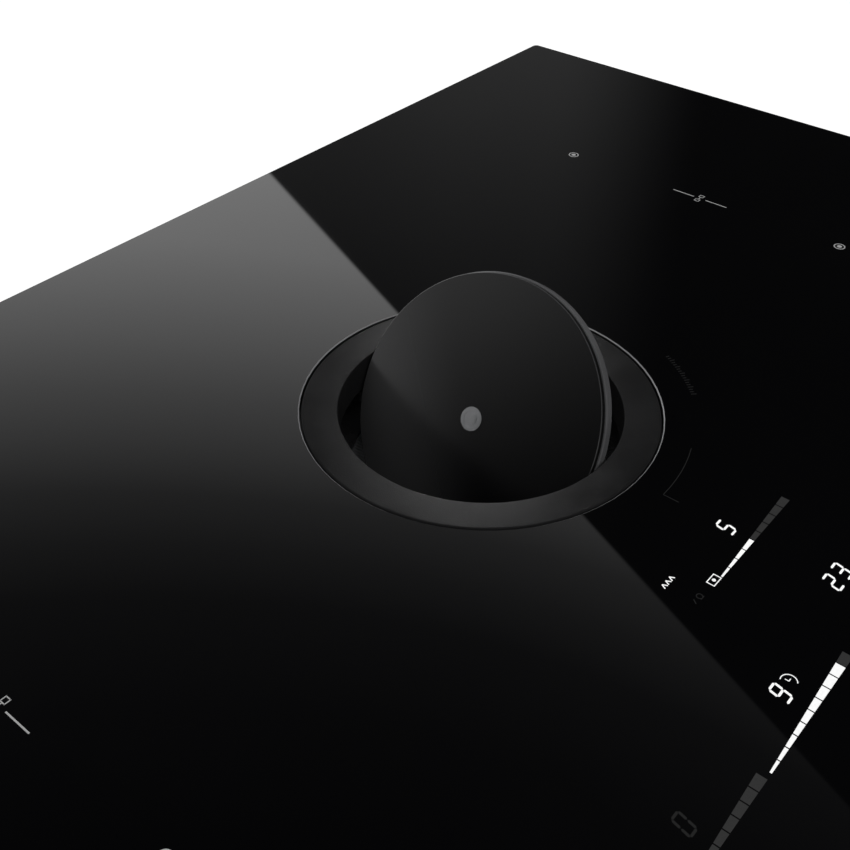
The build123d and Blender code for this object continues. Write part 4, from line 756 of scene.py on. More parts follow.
@dataclass(frozen=True)
class Laminate(Finish):
    """A printed board: green mask, copper traces under it and tinned pads."""

    mask: Colour = (0.02, 0.16, 0.07)

    def draw(self, graph: Graph) -> Wire:
        """Draws traces, pads and the sheen of the mask.

        Args:
            graph: the material's node tree.

        Returns:
            The shader.
        """
        place = graph.place()
        x, y, _ = graph.parts(place)
        flat = graph.join(x, y, 0.0)
        cell = {"Vector": flat, "Scale": 160.0, "Mortar Size": 0.12, "Row Height": 0.35}
        trace = graph.node("ShaderNodeTexBrick", {"offset": 0.37}, cell, "Fac")
        near = graph.cells(flat, 210.0)
        pad = 1.0 - near.fade(0.13, 0.17)
        hue = graph.noise(flat, 60.0, 3.0)
        light = tuple(c * 1.9 + 0.01 for c in self.mask)
        base = graph.mixed(trace * 0.7 + hue * 0.2, self.mask, light)
        base = graph.mixed(pad, base, (0.62, 0.6, 0.52))
        rough = graph.between(pad, 0.28 + hue * 0.15, 0.35)
        height = trace * 0.4 + pad + graph.noise(place, 1500.0) * 0.1
        normal = graph.bump(height, 0.00006, 0.8)
        return graph.surface(Base_Color=base, Roughness=rough, Metallic=pad, Normal=normal)


@dataclass(frozen=True)
class Weave(Finish):
    """Woven or knitted filter wire, flat in X and Y or rolled round an upright axis.

    Attributes:
        rolled: whether the sheet is rolled round the axis.
        centre: the axis in X and Y, in metres.
        radius: the roll's radius in metres.
        pitch: the distance from wire to wire in metres.
    """

    rolled: bool = False
    centre: Point2 = (0.0, -0.0055)
    radius: float = 0.0685
    pitch: float = 0.0022

    def draw(self, graph: Graph) -> Wire:
        """Draws wires that pass over and under each other, with painted shade in the gaps.

        Args:
            graph: the material's node tree.

        Returns:
            The shader.
        """
        place = graph.place()
        x, y, z = graph.parts(place)
        dx, dy = x - self.centre[0], y - self.centre[1]
        if self.rolled:
            turn = dy.math("ARCTAN2", dy, dx)
            across, up = turn * self.radius, z
        else:
            across, up = dx, dy
        u, v = (across + up) * (math.pi / self.pitch), (across - up) * (math.pi / self.pitch)
        first, second = abs(u.sine()), abs(v.sine())
        weave = (u * 0.5).sine() * (v * 0.5).sine()
        wire_u = first.fade(0.45, 0.9) * (0.75 + weave * 0.25)
        wire_v = second.fade(0.45, 0.9) * (0.75 - weave * 0.25)
        wire = wire_u.larger(wire_v)
        tone = graph.noise(place, 700.0, 3.0)
        # painted shade: the open gaps between wires are near-black
        base = graph.mixed(wire.fade(0.08, 0.45), (0.02, 0.02, 0.021), (0.74, 0.75, 0.77))
        base = graph.mixed(tone * 0.35, base, (0.42, 0.42, 0.41))
        rough = 0.3 + tone * 0.25
        shine = wire.fade(0.08, 0.4)
        normal = graph.bump(wire, 0.0007)
        return graph.surface(Base_Color=base, Roughness=rough, Metallic=shine, Normal=normal)


@dataclass(frozen=True)
class Lamp(Finish):
    """A lit mark that shines through the glass; at a weak glow it is a painted glow on marks that are
    not lit.

    Attributes:
        glow: brightness of the light, one being white.
        tint: the light's colour.
    """

    glow: float = 1.0
    tint: Colour = (1.0, 1.0, 1.0)

    def draw(self, graph: Graph) -> Wire:
        """Draws an even glow with the faint unevenness of a light guide.

        Args:
            graph: the material's node tree.

        Returns:
            The shader.
        """
        guide = graph.noise(graph.place(), 900.0, 2.0)
        soft = tuple(c * 0.93 for c in self.tint)
        light = graph.mixed(guide.fade(0.3, 0.7), soft, self.tint)
        return graph.surface(
            Base_Color=(0.004, 0.004, 0.004),
            Roughness=0.05 + guide * 0.04,
            Emission_Color=light,
            Emission_Strength=self.glow,
        )


@dataclass(frozen=True)
class Ink(Finish):
    """A mark printed in ceramic ink.

    Attributes:
        colour: the ink's colour.
    """

    colour: Colour = (0.5, 0.5, 0.5)

    def draw(self, graph: Graph) -> Wire:
        """Draws fine screen dots, which let a little of the glass show.

        Args:
            graph: the material's node tree.

        Returns:
            The shader.
        """
        place = graph.place()
        dots = graph.cells(place, 3200.0)
        wear_and_edge_highlight = graph.noise(place, 300.0, 3.0)
        thin = tuple(c * 0.7 for c in self.colour)
        base = graph.mixed(dots.fade(0.2, 0.6) * 0.6 + wear_and_edge_highlight * 0.4, self.colour, thin)
        normal = graph.bump(dots, 0.00001, 0.5)
        return graph.surface(Base_Color=base, Roughness=0.35 + wear_and_edge_highlight * 0.2, Normal=normal)


FLAP_UP = (-0.8462, 0.0, 0.5329)  # the way the open flap looks

GLASS = BlackGlass("black_glass_ceramic", Slot.GLASS)
# the flap's glass has a painted reflection over its lower back half and a painted highlight on its
# bevel
FLAP_GLASS = BlackGlass("flap_black_glass", Slot.GLASS, FLAP_UP, 0.04, 0.034, 0.22)
RING = RingPlastic("ring_matt_black", Slot.RING)
BLACK = Moulded("moulded_black", Slot.BLACK)
HOUSING = Moulded("housing_black", Slot.BLACK, (0.035, 0.035, 0.037), 0.5, 900.0, 0.00008)
SMOOTH_BLACK = Moulded("smooth_black", Slot.BLACK, (0.02, 0.02, 0.021), 0.3, 2600.0, 0.00002)
GREY = Moulded("satin_grey", Slot.GREY, (0.3, 0.3, 0.31), 0.36, 2200.0, 0.00002, 0.1)
FRAME_GREY = Moulded("flap_frame_grey", Slot.GREY, (0.085, 0.085, 0.088), 0.34, 2600.0, 0.00002, 0.12)
WHITE = Moulded("moulded_white", Slot.WHITE, (0.72, 0.72, 0.7), 0.4, 1800.0, 0.00003, 0.05)
BUSH = Moulded("bearing_plastic", Slot.BUSH, (0.6, 0.58, 0.51), 0.38, 2000.0, 0.00002, 0.08)
DARK_BUSH = Moulded("filled_bearing_plastic", Slot.BUSH, (0.02, 0.02, 0.02), 0.4, 2000.0, 0.00002, 0.1)
SILICONE = Rubber("silicone", Slot.SILICONE)
FOAM = Foam("foam_strip", Slot.FOAM)
STEEL = Brushed("bright_steel", Slot.STEEL, (0.62, 0.62, 0.63), 0.28, (400.0, 400.0, 400.0))
SPRING = Brushed("spring_steel_leaf", Slot.SPRING, (0.42, 0.43, 0.46), 0.3, (900.0, 20.0, 900.0))
ZINC = Galvanised("zinc_sheet", Slot.ZINC)
MOTOR_CAN = Brushed("motor_can", Slot.ZINC, (0.58, 0.6, 0.62), 0.34, (900.0, 60.0, 60.0))
PLATE = Brushed("plate_foil", Slot.ALLOY, (0.7, 0.7, 0.7), 0.4, (900.0, 25.0, 900.0))
ALLOY = Brushed("rolled_alloy", Slot.ALLOY, (0.72, 0.73, 0.74), 0.36, (900.0, 14.0, 900.0))
COPPER = Litz("copper_litz", Slot.COPPER)
MICA = Mica("mica_sheet", Slot.MICA)
FERRITE = Sintered("ferrite_grey", Slot.FERRITE)
BOARD = Laminate("printed_board", Slot.BOARD)
ENAMEL = Moulded("black_enamel", Slot.STEEL, (0.012, 0.012, 0.0125), 0.28, 700.0, 0.00003, 0.3)
BLACK_STEEL = Brushed("blackened_steel", Slot.STEEL, (0.03, 0.03, 0.032), 0.4, (400.0, 400.0, 400.0))
MESH_FLAT = Weave("filter_mesh_flat", Slot.MESH)
MESH_ROLLED = Weave("filter_mesh_rolled", Slot.MESH, True)
BADGE = Spun("badge_metal", Slot.BRIGHT, (-0.0071, -0.0055, 0.2043), FLAP_UP)
LIT = Lamp("lit_white", Slot.WHITE, 1.0)
# painted glow: marks that are not lit glow faintly instead of being lit by the lamps
DIM_PAINTED_GLOW = Lamp("unlit_painted_glow", Slot.WHITE, 0.028)
FAINT_PAINTED_GLOW = Lamp("faint_painted_glow", Slot.WHITE, 0.012)
PRINT = Ink("printed_grey", Slot.WHITE, (0.42, 0.42, 0.42))
# painted shade in screw recesses and vent slots; the same black prints the rating plate's rules
PRINT_AND_RECESS_SHADE = Moulded("print_and_painted_recess_shade", Slot.BLACK, (0.008, 0.008, 0.008), 0.6, 2600.0, 0.00002)


# ---------------------------------------------------------------- shapes
class Shape:
    """A mesh under construction, in metres in the part's frame."""

    def __init__(self) -> None:
        """Starts empty."""
        self.points: list[Vector] = []
        self.faces: list[tuple[int, ...]] = []

    def add(self, points: Sequence[Sequence[float]], faces: Sequence[Sequence[int]]) -> None:
        """Adds points and faces.

        Args:
            points: the new points.
            faces: faces that count from the first of the new points.
        """
        start = len(self.points)
        self.points += [Vector(p) for p in points]
        self.faces += [tuple(start + k for k in face) for face in faces]

    def loft(self, rings: Sequence[Sequence[Vector]]) -> None:
        """Skins a row of rings and closes both ends.

        Args:
            rings: rings of equally many points.
        """
        count = len(rings[0])
        points = [p for ring in rings for p in ring]
        faces: list[Sequence[int]] = []
        for k in range(len(rings) - 1):
            for i in range(count):
                j = (i + 1) % count
                low, high = k * count, (k + 1) * count
                faces.append((low + i, low + j, high + j, high + i))
        faces.append(tuple(reversed(range(count))))
        faces.append(tuple(range((len(rings) - 1) * count, len(rings) * count)))
        self.add(points, faces)

    def prism(self, outline: Sequence[Point2], low: float, high: float) -> None:
        """Adds an upright prism.

        Args:
            outline: its outline in X and Y, anticlockwise.
            low: its lower level.
            high: its upper level.
        """
        rings = [[Vector((x, y, z)) for x, y in outline] for z in (low, high)]
        self.loft(rings)

    def make(
        self, name: str, finish: Finish, body: Body, smooth: Optional[float] = None
    ) -> bpy.types.Object:
        """Makes the object and hands it to the frame.

        Args:
            name: the piece's name.
            finish: its finish.
            body: the body that it rides on.
            smooth: the angle in degrees under which edges are shaded smooth, or none.

        Returns:
            The object.
        """
        mesh = bpy.data.meshes.new(name)
        mesh.from_pydata(self.points, [], self.faces)
        mesh.materials.append(finish.material())
        if smooth is not None:
            mesh.shade_smooth()
            mesh.set_sharp_from_angle(angle=math.radians(smooth))
        mesh.validate()
        made = bpy.data.objects.new(name, mesh)
        bpy.context.scene.collection.objects.link(made)
        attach(made, body.value)
        LOG.info("made %s: %d faces", name, len(self.faces))
        return made


class Relief(Shape):
    """Raised and sunk details on a flat wall, in metres."""

    skin: ClassVar[tuple[float, float]] = (-0.0002, 0.00006)  # a dark patch of painted shade, below and above the face
    slot_share: ClassVar[float] = 0.13  # half of a slot's width, as a share of the cross
    bead_facets: ClassVar[int] = 8

    def block(self, low: Point3, high: Point3) -> None:
        """Adds a box.

        Args:
            low: its lowest corner.
            high: its highest corner.
        """
        (x0, y0, z0), (x1, y1, z1) = low, high
        rings = [[(x0, y0, z), (x1, y0, z), (x1, y1, z), (x0, y1, z)] for z in (z0, z1)]
        self.loft([[Vector(p) for p in ring] for ring in rings])

    def bead(self, start: Point3, end: Point3, out: Point3, width: float, height: float) -> None:
        """Adds a pressed bead with a round back and run-out ends.

        Args:
            start: one end of its middle line, on the wall.
            end: the other end.
            out: the way the wall faces.
            width: across the bead.
            height: from the wall to the bead's back.
        """
        a, b, up = Vector(start), Vector(end), Vector(out)
        along = (b - a).normalized()
        side = along.cross(up)
        rings = []
        run = along * width
        for at, share in ((a, 0.02), (a + run, 1.0), (b - run, 1.0), (b, 0.02)):
            ring = []
            for k in range(self.bead_facets + 1):
                turn = math.pi * k / self.bead_facets
                off = side * (math.cos(turn) * width / 2 * max(share, 0.4))
                ring.append(at + off + up * (math.sin(turn) * height * share))
            rings.append(ring)
        self.loft(rings)

    def cross(self, at: Vector, out: Vector, size: float = 0.0034) -> None:
        """Adds a screw's cross recess as a flat dark patch of painted shade.

        Args:
            at: the middle of the head's face.
            out: the way the head faces.
            size: across the cross.
        """
        first = out.orthogonal().normalized()
        second = out.cross(first)
        for u, v in ((first, second), (second, first)):
            half, thin = u * (size / 2), v * (size * self.slot_share)
            corners = [at - half - thin, at + half - thin, at + half + thin, at - half + thin]
            self.loft([[c + out * lift for c in corners] for lift in self.skin])


SCREW_REACH = 0.013  # no point of a screw is farther than this from another


def screw_heads(node: str) -> Iterator[tuple[Vector, Vector]]:
    """Finds the screws in a carried-over node.

    Args:
        node: the node's name.

    Yields:
        The lowest and highest corner of each screw.
    """
    groups: list[list[Vector]] = []
    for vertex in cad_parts[node].data.vertices:
        near = next((g for g in groups if (g[0] - vertex.co).length < SCREW_REACH), None)
        if near is None:
            groups.append([vertex.co.copy()])
        else:
            near.append(vertex.co.copy())
    for group in groups:
        low = Vector([min(p[k] for p in group) for k in range(3)])
        high = Vector([max(p[k] for p in group) for k in range(3)])
        yield low, high


def head_face(low: Vector, high: Vector, out: Vector) -> Vector:
    """Finds the middle of the outward face of a box.

    Args:
        low: its lowest corner.
        high: its highest corner.
        out: the way the face looks.

    Returns:
        The point.
    """
    middle, half = (low + high) / 2, (high - low) / 2
    return middle + Vector([out[k] * half[k] for k in range(3)])


class Print(Shape):
    """Flat marks on the glass, in millimetres from the ring's centre."""

    centre: ClassVar[Point2] = (0.0, -0.0055)
    level: ClassVar[float] = 0.21
    thickness: ClassVar[float] = 0.00005

    def patch(self, outline: Sequence[Point2]) -> None:
        """Adds a patch.

        Args:
            outline: its anticlockwise outline.
        """
        moved = [(self.centre[0] + x * MM, self.centre[1] + y * MM) for x, y in outline]
        self.prism(moved, self.level, self.level + self.thickness)

    def line(self, start: Point2, end: Point2, width: float) -> None:
        """Adds a straight line.

        Args:
            start: one end.
            end: the other end.
            width: of the line.
        """
        along = Vector((end[0] - start[0], end[1] - start[1])).normalized()
        side = Vector((along.y, -along.x)) * (width / 2)
        a, b = Vector(start), Vector(end)
        self.patch([tuple(a + side), tuple(b + side), tuple(b - side), tuple(a - side)])

    def bow(self, at: Point2, radius: float, turn: tuple[float, float], width: float) -> None:
        """Adds an arc.

        Args:
            at: its centre.
            radius: its middle radius.
            turn: its first and last angle in degrees.
            width: the line's width.
        """
        steps = max(6, int(abs(turn[1] - turn[0]) / 5))
        outer, inner = [], []
        for k in range(steps + 1):
            a = math.radians(turn[0] + (turn[1] - turn[0]) * k / steps)
            for r, side in ((radius + width / 2, outer), (radius - width / 2, inner)):
                side.append((at[0] + r * math.cos(a), at[1] + r * math.sin(a)))
        for k in range(steps):
            self.patch([inner[k], outer[k], outer[k + 1], inner[k + 1]])

    def dot(self, at: Point2, radius: float) -> None:
        """Adds a filled dot."""
        turns = [2 * math.pi * k / 24 for k in range(24)]
        self.patch([(at[0] + radius * math.cos(a), at[1] + radius * math.sin(a)) for a in turns])

    def frame(self, low: Point2, high: Point2, width: float) -> None:
        """Adds a rectangle drawn with a line.

        Args:
            low: its lower left corner.
            high: its upper right corner.
            width: of the line.
        """
        w = width / 2
        self.line((low[0] - w, low[1]), (high[0] + w, low[1]), width)
        self.line((low[0] - w, high[1]), (high[0] + w, high[1]), width)
        self.line((low[0], low[1]), (low[0], high[1]), width)
        self.line((high[0], low[1]), (high[0], high[1]), width)


@dataclass(frozen=True)
class Digit:
    """A seven-segment figure, leaning a little.

    Attributes:
        width: of the figure in millimetres.
        height: of the figure in millimetres.
        stroke: of each segment in millimetres.
        lean: of the figure in degrees.
    """

    width: float = 5.4
    height: float = 9.4
    stroke: float = 1.05
    lean: float = 11.0
    segments: ClassVar[dict[str, str]] = {
        "0": "abcdef",
        "1": "bc",
        "2": "abged",
        "3": "abgcd",
        "5": "afgcd",
        "9": "abfgcd",
    }

    def _bar(self, start: Point2, end: Point2) -> list[Point2]:
        """Draws one segment.

        Args:
            start: one end of its middle line.
            end: the other end.

        Returns:
            Its pointed outline.
        """
        along = Vector((end[0] - start[0], end[1] - start[1])).normalized()
        side = Vector((along.y, -along.x)) * (self.stroke / 2)
        a, b = Vector(start) + along * 0.12, Vector(end) - along * 0.12
        tip = along * (self.stroke / 2)
        corners = [a, a + tip + side, b - tip + side, b, b - tip - side, a + tip - side]
        return [tuple(c) for c in corners]

    def draw(self, sheet: Print, figure: str, at: Point2) -> None:
        """Draws a figure.

        Args:
            sheet: the marks that it joins.
            figure: which figure.
            at: its lower left corner.
        """
        x0, x1 = self.stroke / 2, self.width - self.stroke / 2
        y0, y2 = self.stroke / 2, self.height - self.stroke / 2
        y1 = self.height / 2
        bars = {
            "a": ((x0, y2), (x1, y2)),
            "b": ((x1, y1), (x1, y2)),
            "c": ((x1, y0), (x1, y1)),
            "d": ((x0, y0), (x1, y0)),
            "e": ((x0, y0), (x0, y1)),
            "f": ((x0, y1), (x0, y2)),
            "g": ((x0, y1), (x1, y1)),
        }
        slope = math.tan(math.radians(self.lean))
        for name in self.segments[figure]:
            outline = self._bar(*bars[name])
            sheet.patch([(at[0] + x + y * slope, at[1] + y) for x, y in outline])


@dataclass(frozen=True)
class Slider:
    """A row of level bars whose height grows to the right.

    Attributes:
        starts: left edge of each bar in millimetres.
        end: right edge of the last bar.
        front: the bars' front edge.
        heights: height at the first bar's left edge and at the last one's right edge.
        gap: the gap after each bar.
    """

    starts: tuple[float, ...]
    end: float
    front: float
    heights: tuple[float, float]
    gap: float = 0.45

    def draw(self, sheet: Print, first: int, last: int) -> None:
        """Draws some of the bars.

        Args:
            sheet: the marks that they join.
            first: the first bar.
            last: the bar after the last one.
        """
        edges = (*self.starts, self.end + self.gap)
        rise = (self.heights[1] - self.heights[0]) / (self.end - self.starts[0])
        for k in range(first, last):
            x0, x1 = edges[k], edges[k + 1] - self.gap
            y0 = self.front + self.heights[0] + rise * (x0 - self.starts[0])
            y1 = self.front + self.heights[0] + rise * (x1 - self.starts[0])
            sheet.patch([(x0, self.front), (x1, self.front), (x1, y1), (x0, y0)])


# ---------------------------------------------------------------- sub-assemblies
@dataclass
class GlassTop:
    """The black glass with its printed and lit marks.

    Attributes:
        zone_x: the cooking zones' marks either side of the ring.
        zone_back: their back row.
        zone_front: their front row.
        bridge_x: the lines that join two zones.
        arc_radius: of the touch guide in front of the ring.
    """

    zone_x: float = 262.9
    zone_back: float = 123.2
    zone_front: float = -71.5
    bridge_x: float = 262.7
    arc_radius: float = 105.5
    fan_slider: Slider = field(
        default_factory=lambda: Slider(
            (-28.5, -21.5, -14.8, -7.8, 0.0, 6.2, 13.2, 20.1, 27.2), 33.5, -151.3, (0.8, 4.0), 0.6
        )
    )
    levels: tuple[float, ...] = (-174.6, -102.6, 30.2, 102.2)
    level_pitch: float = 6.93
    digit: Digit = field(default_factory=Digit)

    def dress(self) -> None:
        """Puts the glass finish on the pane and foam on its seal."""
        GLASS.dress("glass_top")
        FOAM.dress("glass_rim_seal")
        SILICONE.dress("pan_bond", "collar_gasket")

    def build(self) -> None:
        """Builds every mark as thin patches on the pane."""
        self._printed_marks()
        self._guide_marks()
        self._lit_marks()
        self._unlit_marks()

    def _printed_marks(self) -> None:
        """The zones' middles and the lines that join front and back zones."""
        zones, bridges = Print(), Print()
        for side in (-1, 1):
            for y in (self.zone_back, self.zone_front):
                zones.bow((side * self.zone_x, y), 3.1, (0, 360), 0.7)
                zones.dot((side * self.zone_x, y), 1.5)
            x = side * self.bridge_x
            bridges.line((x, 43.9), (x, 28.6), 0.75)
            bridges.line((x, 20.0), (x, 5.0), 0.75)
            bridges.frame((x - 4.4, 23.2), (x - 1.6, 26.0), 0.5)
            bridges.frame((x + 1.6, 23.2), (x + 4.4, 26.0), 0.5)
            bridges.line((x - 1.4, 24.6), (x + 1.4, 24.6), 0.5)
        zones.make("zone_centre_marks", PRINT, Body.HOB)
        bridges.make("bridge_marks", PRINT, Body.HOB)

    def _guide_marks(self) -> None:
        """The faint touch guide that curves round the front of the ring, drawn with a faint painted
        glow.
        """
        guide = Print()
        r = self.arc_radius
        guide.bow((0, 0), r, (-90.0, -69.5), 0.35)
        guide.line((0.0, -r), (0.0, -113.6), 0.35)
        for k in range(18):
            a = math.radians(-46.0 + 1.05 * k)
            near, far = r + 1.7, r + (3.7 if k % 3 else 4.6)
            guide.line(
                (near * math.cos(a), near * math.sin(a)),
                (far * math.cos(a), far * math.sin(a)),
                0.45,
            )
        guide.make("touch_guide_marks", FAINT_PAINTED_GLOW, Body.HOB)

    def _level_slider(self, start: float) -> Slider:
        """One zone's slider from its left edge."""
        starts = tuple(start + self.level_pitch * k for k in range(10))
        return Slider(starts, starts[-1] + 6.4, -211.2, (0.9, 4.4), 0.6)

    def _lit_marks(self) -> None:
        """The lit bars, figures and symbols."""
        bars, figures, symbols = Print(), Print(), Print()
        self.fan_slider.draw(bars, 0, 4)
        self._level_slider(self.levels[1]).draw(bars, 0, 9)
        self.digit.draw(figures, "5", (-4.4, -142.5))
        self.digit.draw(figures, "2", (-4.9, -192.8))
        self.digit.draw(figures, "3", (3.4, -192.8))
        self.digit.draw(figures, "9", (-71.8, -202.2))
        symbols.frame((-35.4, -151.1), (-29.4, -147.5), 0.45)
        symbols.dot((-32.4, -149.3), 0.85)
        symbols.bow((-60.9, -197.3), 3.3, (-68, 112), 0.4)
        symbols.line((-60.9, -197.3), (-60.9, -195.6), 0.4)
        symbols.line((-60.9, -197.3), (-59.4, -197.3), 0.4)
        for k in range(3):
            x = -49.8 + 2.9 * k
            symbols.line((x, -136.2), (x + 1.1, -134.0), 0.55)
            symbols.line((x + 1.1, -134.0), (x + 2.2, -136.2), 0.55)
        bars.make("lit_level_bars", LIT, Body.HOB)
        figures.make("lit_figures", LIT, Body.HOB)
        symbols.make("lit_symbols", LIT, Body.HOB)

    def _unlit_marks(self) -> None:
        """The bars and figures that are off, drawn with a faint painted glow."""
        bars, figures, symbols = Print(), Print(), Print()
        self.fan_slider.draw(bars, 4, 9)
        self._level_slider(self.levels[1]).draw(bars, 9, 10)
        for start in (self.levels[0], self.levels[2], self.levels[3]):
            self._level_slider(start).draw(bars, 0, 10)
            self.digit.draw(figures, "0", (start + 30.8, -202.2))
        symbols.bow((-44.3, -149.2), 1.3, (-60, 240), 0.4)
        symbols.line((-49.0, -150.3), (-47.4, -148.2), 0.4)
        symbols.line((-45.6, -150.6), (-43.0, -150.6), 0.4)
        for x in (-214.0, -196.0, 196.0, 214.0):
            symbols.bow((x, -209.0), 2.6, (110, 430), 0.4)
            symbols.line((x, -208.6), (x, -205.8), 0.4)
        bars.make("unlit_level_bars", DIM_PAINTED_GLOW, Body.HOB)
        figures.make("unlit_figures", FAINT_PAINTED_GLOW, Body.HOB)
        symbols.make("unlit_symbols", FAINT_PAINTED_GLOW, Body.HOB)


@dataclass
class ThroatTrim:
    """The trim ring, its seal and bushes, and the collar that they stand in."""

    def dress(self) -> None:
        """Puts the matt grain on the ring and plain finishes on the rest."""
        RING.dress("ring_trim")
        SILICONE.dress("ring_seal")
        DARK_BUSH.dress("pivot_bushes")
        BLACK.dress("throat_collar")

    def build(self) -> None:
        """The ring needs no further pieces."""


@dataclass
class TiltingFlap:
    """The round flap: black glass, badge, dish, axles and toothed sector."""

    def dress(self) -> None:
        """Puts glass on the disc and satin grey on the dish behind it."""
        FLAP_GLASS.dress("flap_glass")
        BADGE.dress("flap_badge")
        SILICONE.dress("flap_bond")
        FRAME_GREY.dress("flap_frame")
        BLACK_STEEL.dress("flap_axles")
        DARK_BUSH.dress("flap_sector_gear", "drive_pinion")

    def build(self) -> None:
        """The flap needs no further pieces."""


@dataclass
class FilterStack:
    """The grease filter, its woven mesh and the drip bowl."""

    def dress(self) -> None:
        """Puts steel, mesh and grey plastic on the stack."""
        ENAMEL.dress("filter_basket")
        MESH_FLAT.dress("filter_floor")
        MESH_ROLLED.dress("filter_sleeve")
        GREY.dress("drip_bowl")

    def build(self) -> None:
        """The stack needs no further pieces."""


@dataclass
class PanAndCoils:
    """The steel pan with its clips, the coils and everything that drives them.

    Attributes:
        floor: the level of the pan's underside in metres.
        half: half of the pan's width and depth.
        plate_at: the rating plate's corner in X and Y.
        plate_size: the rating plate's width and depth.
        rules: the length of each rule on it, as a share of the widest.
        floor_bead: width and height of a bead under the floor.
        wall_bead: width and height of a bead along a wall.
        bead_rise: of the walls' beads above the pan's underside.
    """

    floor: float = 0.154
    half: Point2 = (0.385, 0.24)
    plate_at: Point2 = (-0.25, 0.03)
    plate_size: Point2 = (0.062, 0.036)
    rules: tuple[float, ...] = (0.8, 0.55, 0.9, 0.65, 0.75)
    floor_bead: Point2 = (0.009, 0.0016)
    wall_bead: Point2 = (0.006, 0.0012)
    bead_rise: float = 0.014

    def dress(self) -> None:
        """Puts sheet, copper, boards and plastics on the pan's contents."""
        ZINC.dress("base_pan")
        SPRING.dress("worktop_clips")
        STEEL.dress("pan_screws", "flap_motor_screws")
        COPPER.dress("coil_windings")
        MICA.dress("mica_sheets")
        FERRITE.dress("ferrite_bars")
        ALLOY.dress("coil_plates", "heatsinks")
        BOARD.dress("power_boards", "control_board")
        BLACK.dress("coil_carriers", "control_tray", "cable_gland", "flap_motor")
        SMOOTH_BLACK.dress("board_components", "cooling_fan_frames")
        SMOOTH_BLACK.dress("cooling_rotor_left", "cooling_rotor_right")
        WHITE.dress("display_modules", "terminal_block")
        BUSH.dress("coil_sensors")
        SILICONE.dress("touch_pads")

    def build(self) -> None:
        """Adds the pan's pressed beads, its blank rating plate and painted shade for the screws'
        recesses.
        """
        self._beads()
        self._plate()
        self._recesses()

    def _beads(self) -> None:
        """Stiffening beads under the floor and along the walls."""
        beads = Relief()
        z, rise = self.floor, self.floor + self.bead_rise
        down = (0, 0, -1)
        for side in (-1, 1):
            for x in (side * 0.135, side * 0.165, side * 0.36):
                beads.bead((x, -0.06, z), (x, 0.06, z), down, *self.floor_bead)
            beads.bead((side * 0.2, 0.2, z), (side * 0.34, 0.2, z), down, *self.floor_bead)
            wall = side * self.half[1]
            for x in (-0.2, 0.0, 0.2):
                ends = (x - 0.08, wall, rise), (x + 0.08, wall, rise)
                beads.bead(*ends, (0, side, 0), *self.wall_bead)
            wall = side * self.half[0]
            beads.bead((wall, -0.1, rise), (wall, 0.1, rise), (side, 0, 0), *self.wall_bead)
        beads.make("pan_beads", ZINC, Body.HOB, 40.0)

    def _plate(self) -> None:
        """A rating plate without any text, only plain rules where the figures would be."""
        plate, rules = Relief(), Relief()
        x, y = self.plate_at
        w, d = self.plate_size
        z = self.floor
        plate.block((x, y, z - 0.0004), (x + w, y + d, z))
        margin, stroke = 0.004, 0.0012
        for k, share in enumerate(self.rules):
            x0, y0 = x + margin, y + d * (0.13 + 0.16 * k)
            x1 = x0 + (w - 2 * margin) * share
            rules.block((x0, y0, z - 0.00046), (x1, y0 + stroke, z))
        plate.make("rating_plate", PLATE, Body.HOB)
        rules.make("rating_plate_rules", PRINT_AND_RECESS_SHADE, Body.HOB)

    def _recesses(self) -> None:
        """Painted shade for the cross recesses in the heads of the lid's and the clips' screws."""
        recesses = Relief()
        for low, high in screw_heads("pan_screws"):
            x = (low.x + high.x) / 2
            out = Vector((math.copysign(1, x), 0, 0)) if abs(x) > 0.37 else Vector((0, 0, -1))
            recesses.cross(head_face(low, high, out), out)
        recesses.make("pan_screw_recess_painted_shade", PRINT_AND_RECESS_SHADE, Body.HOB)


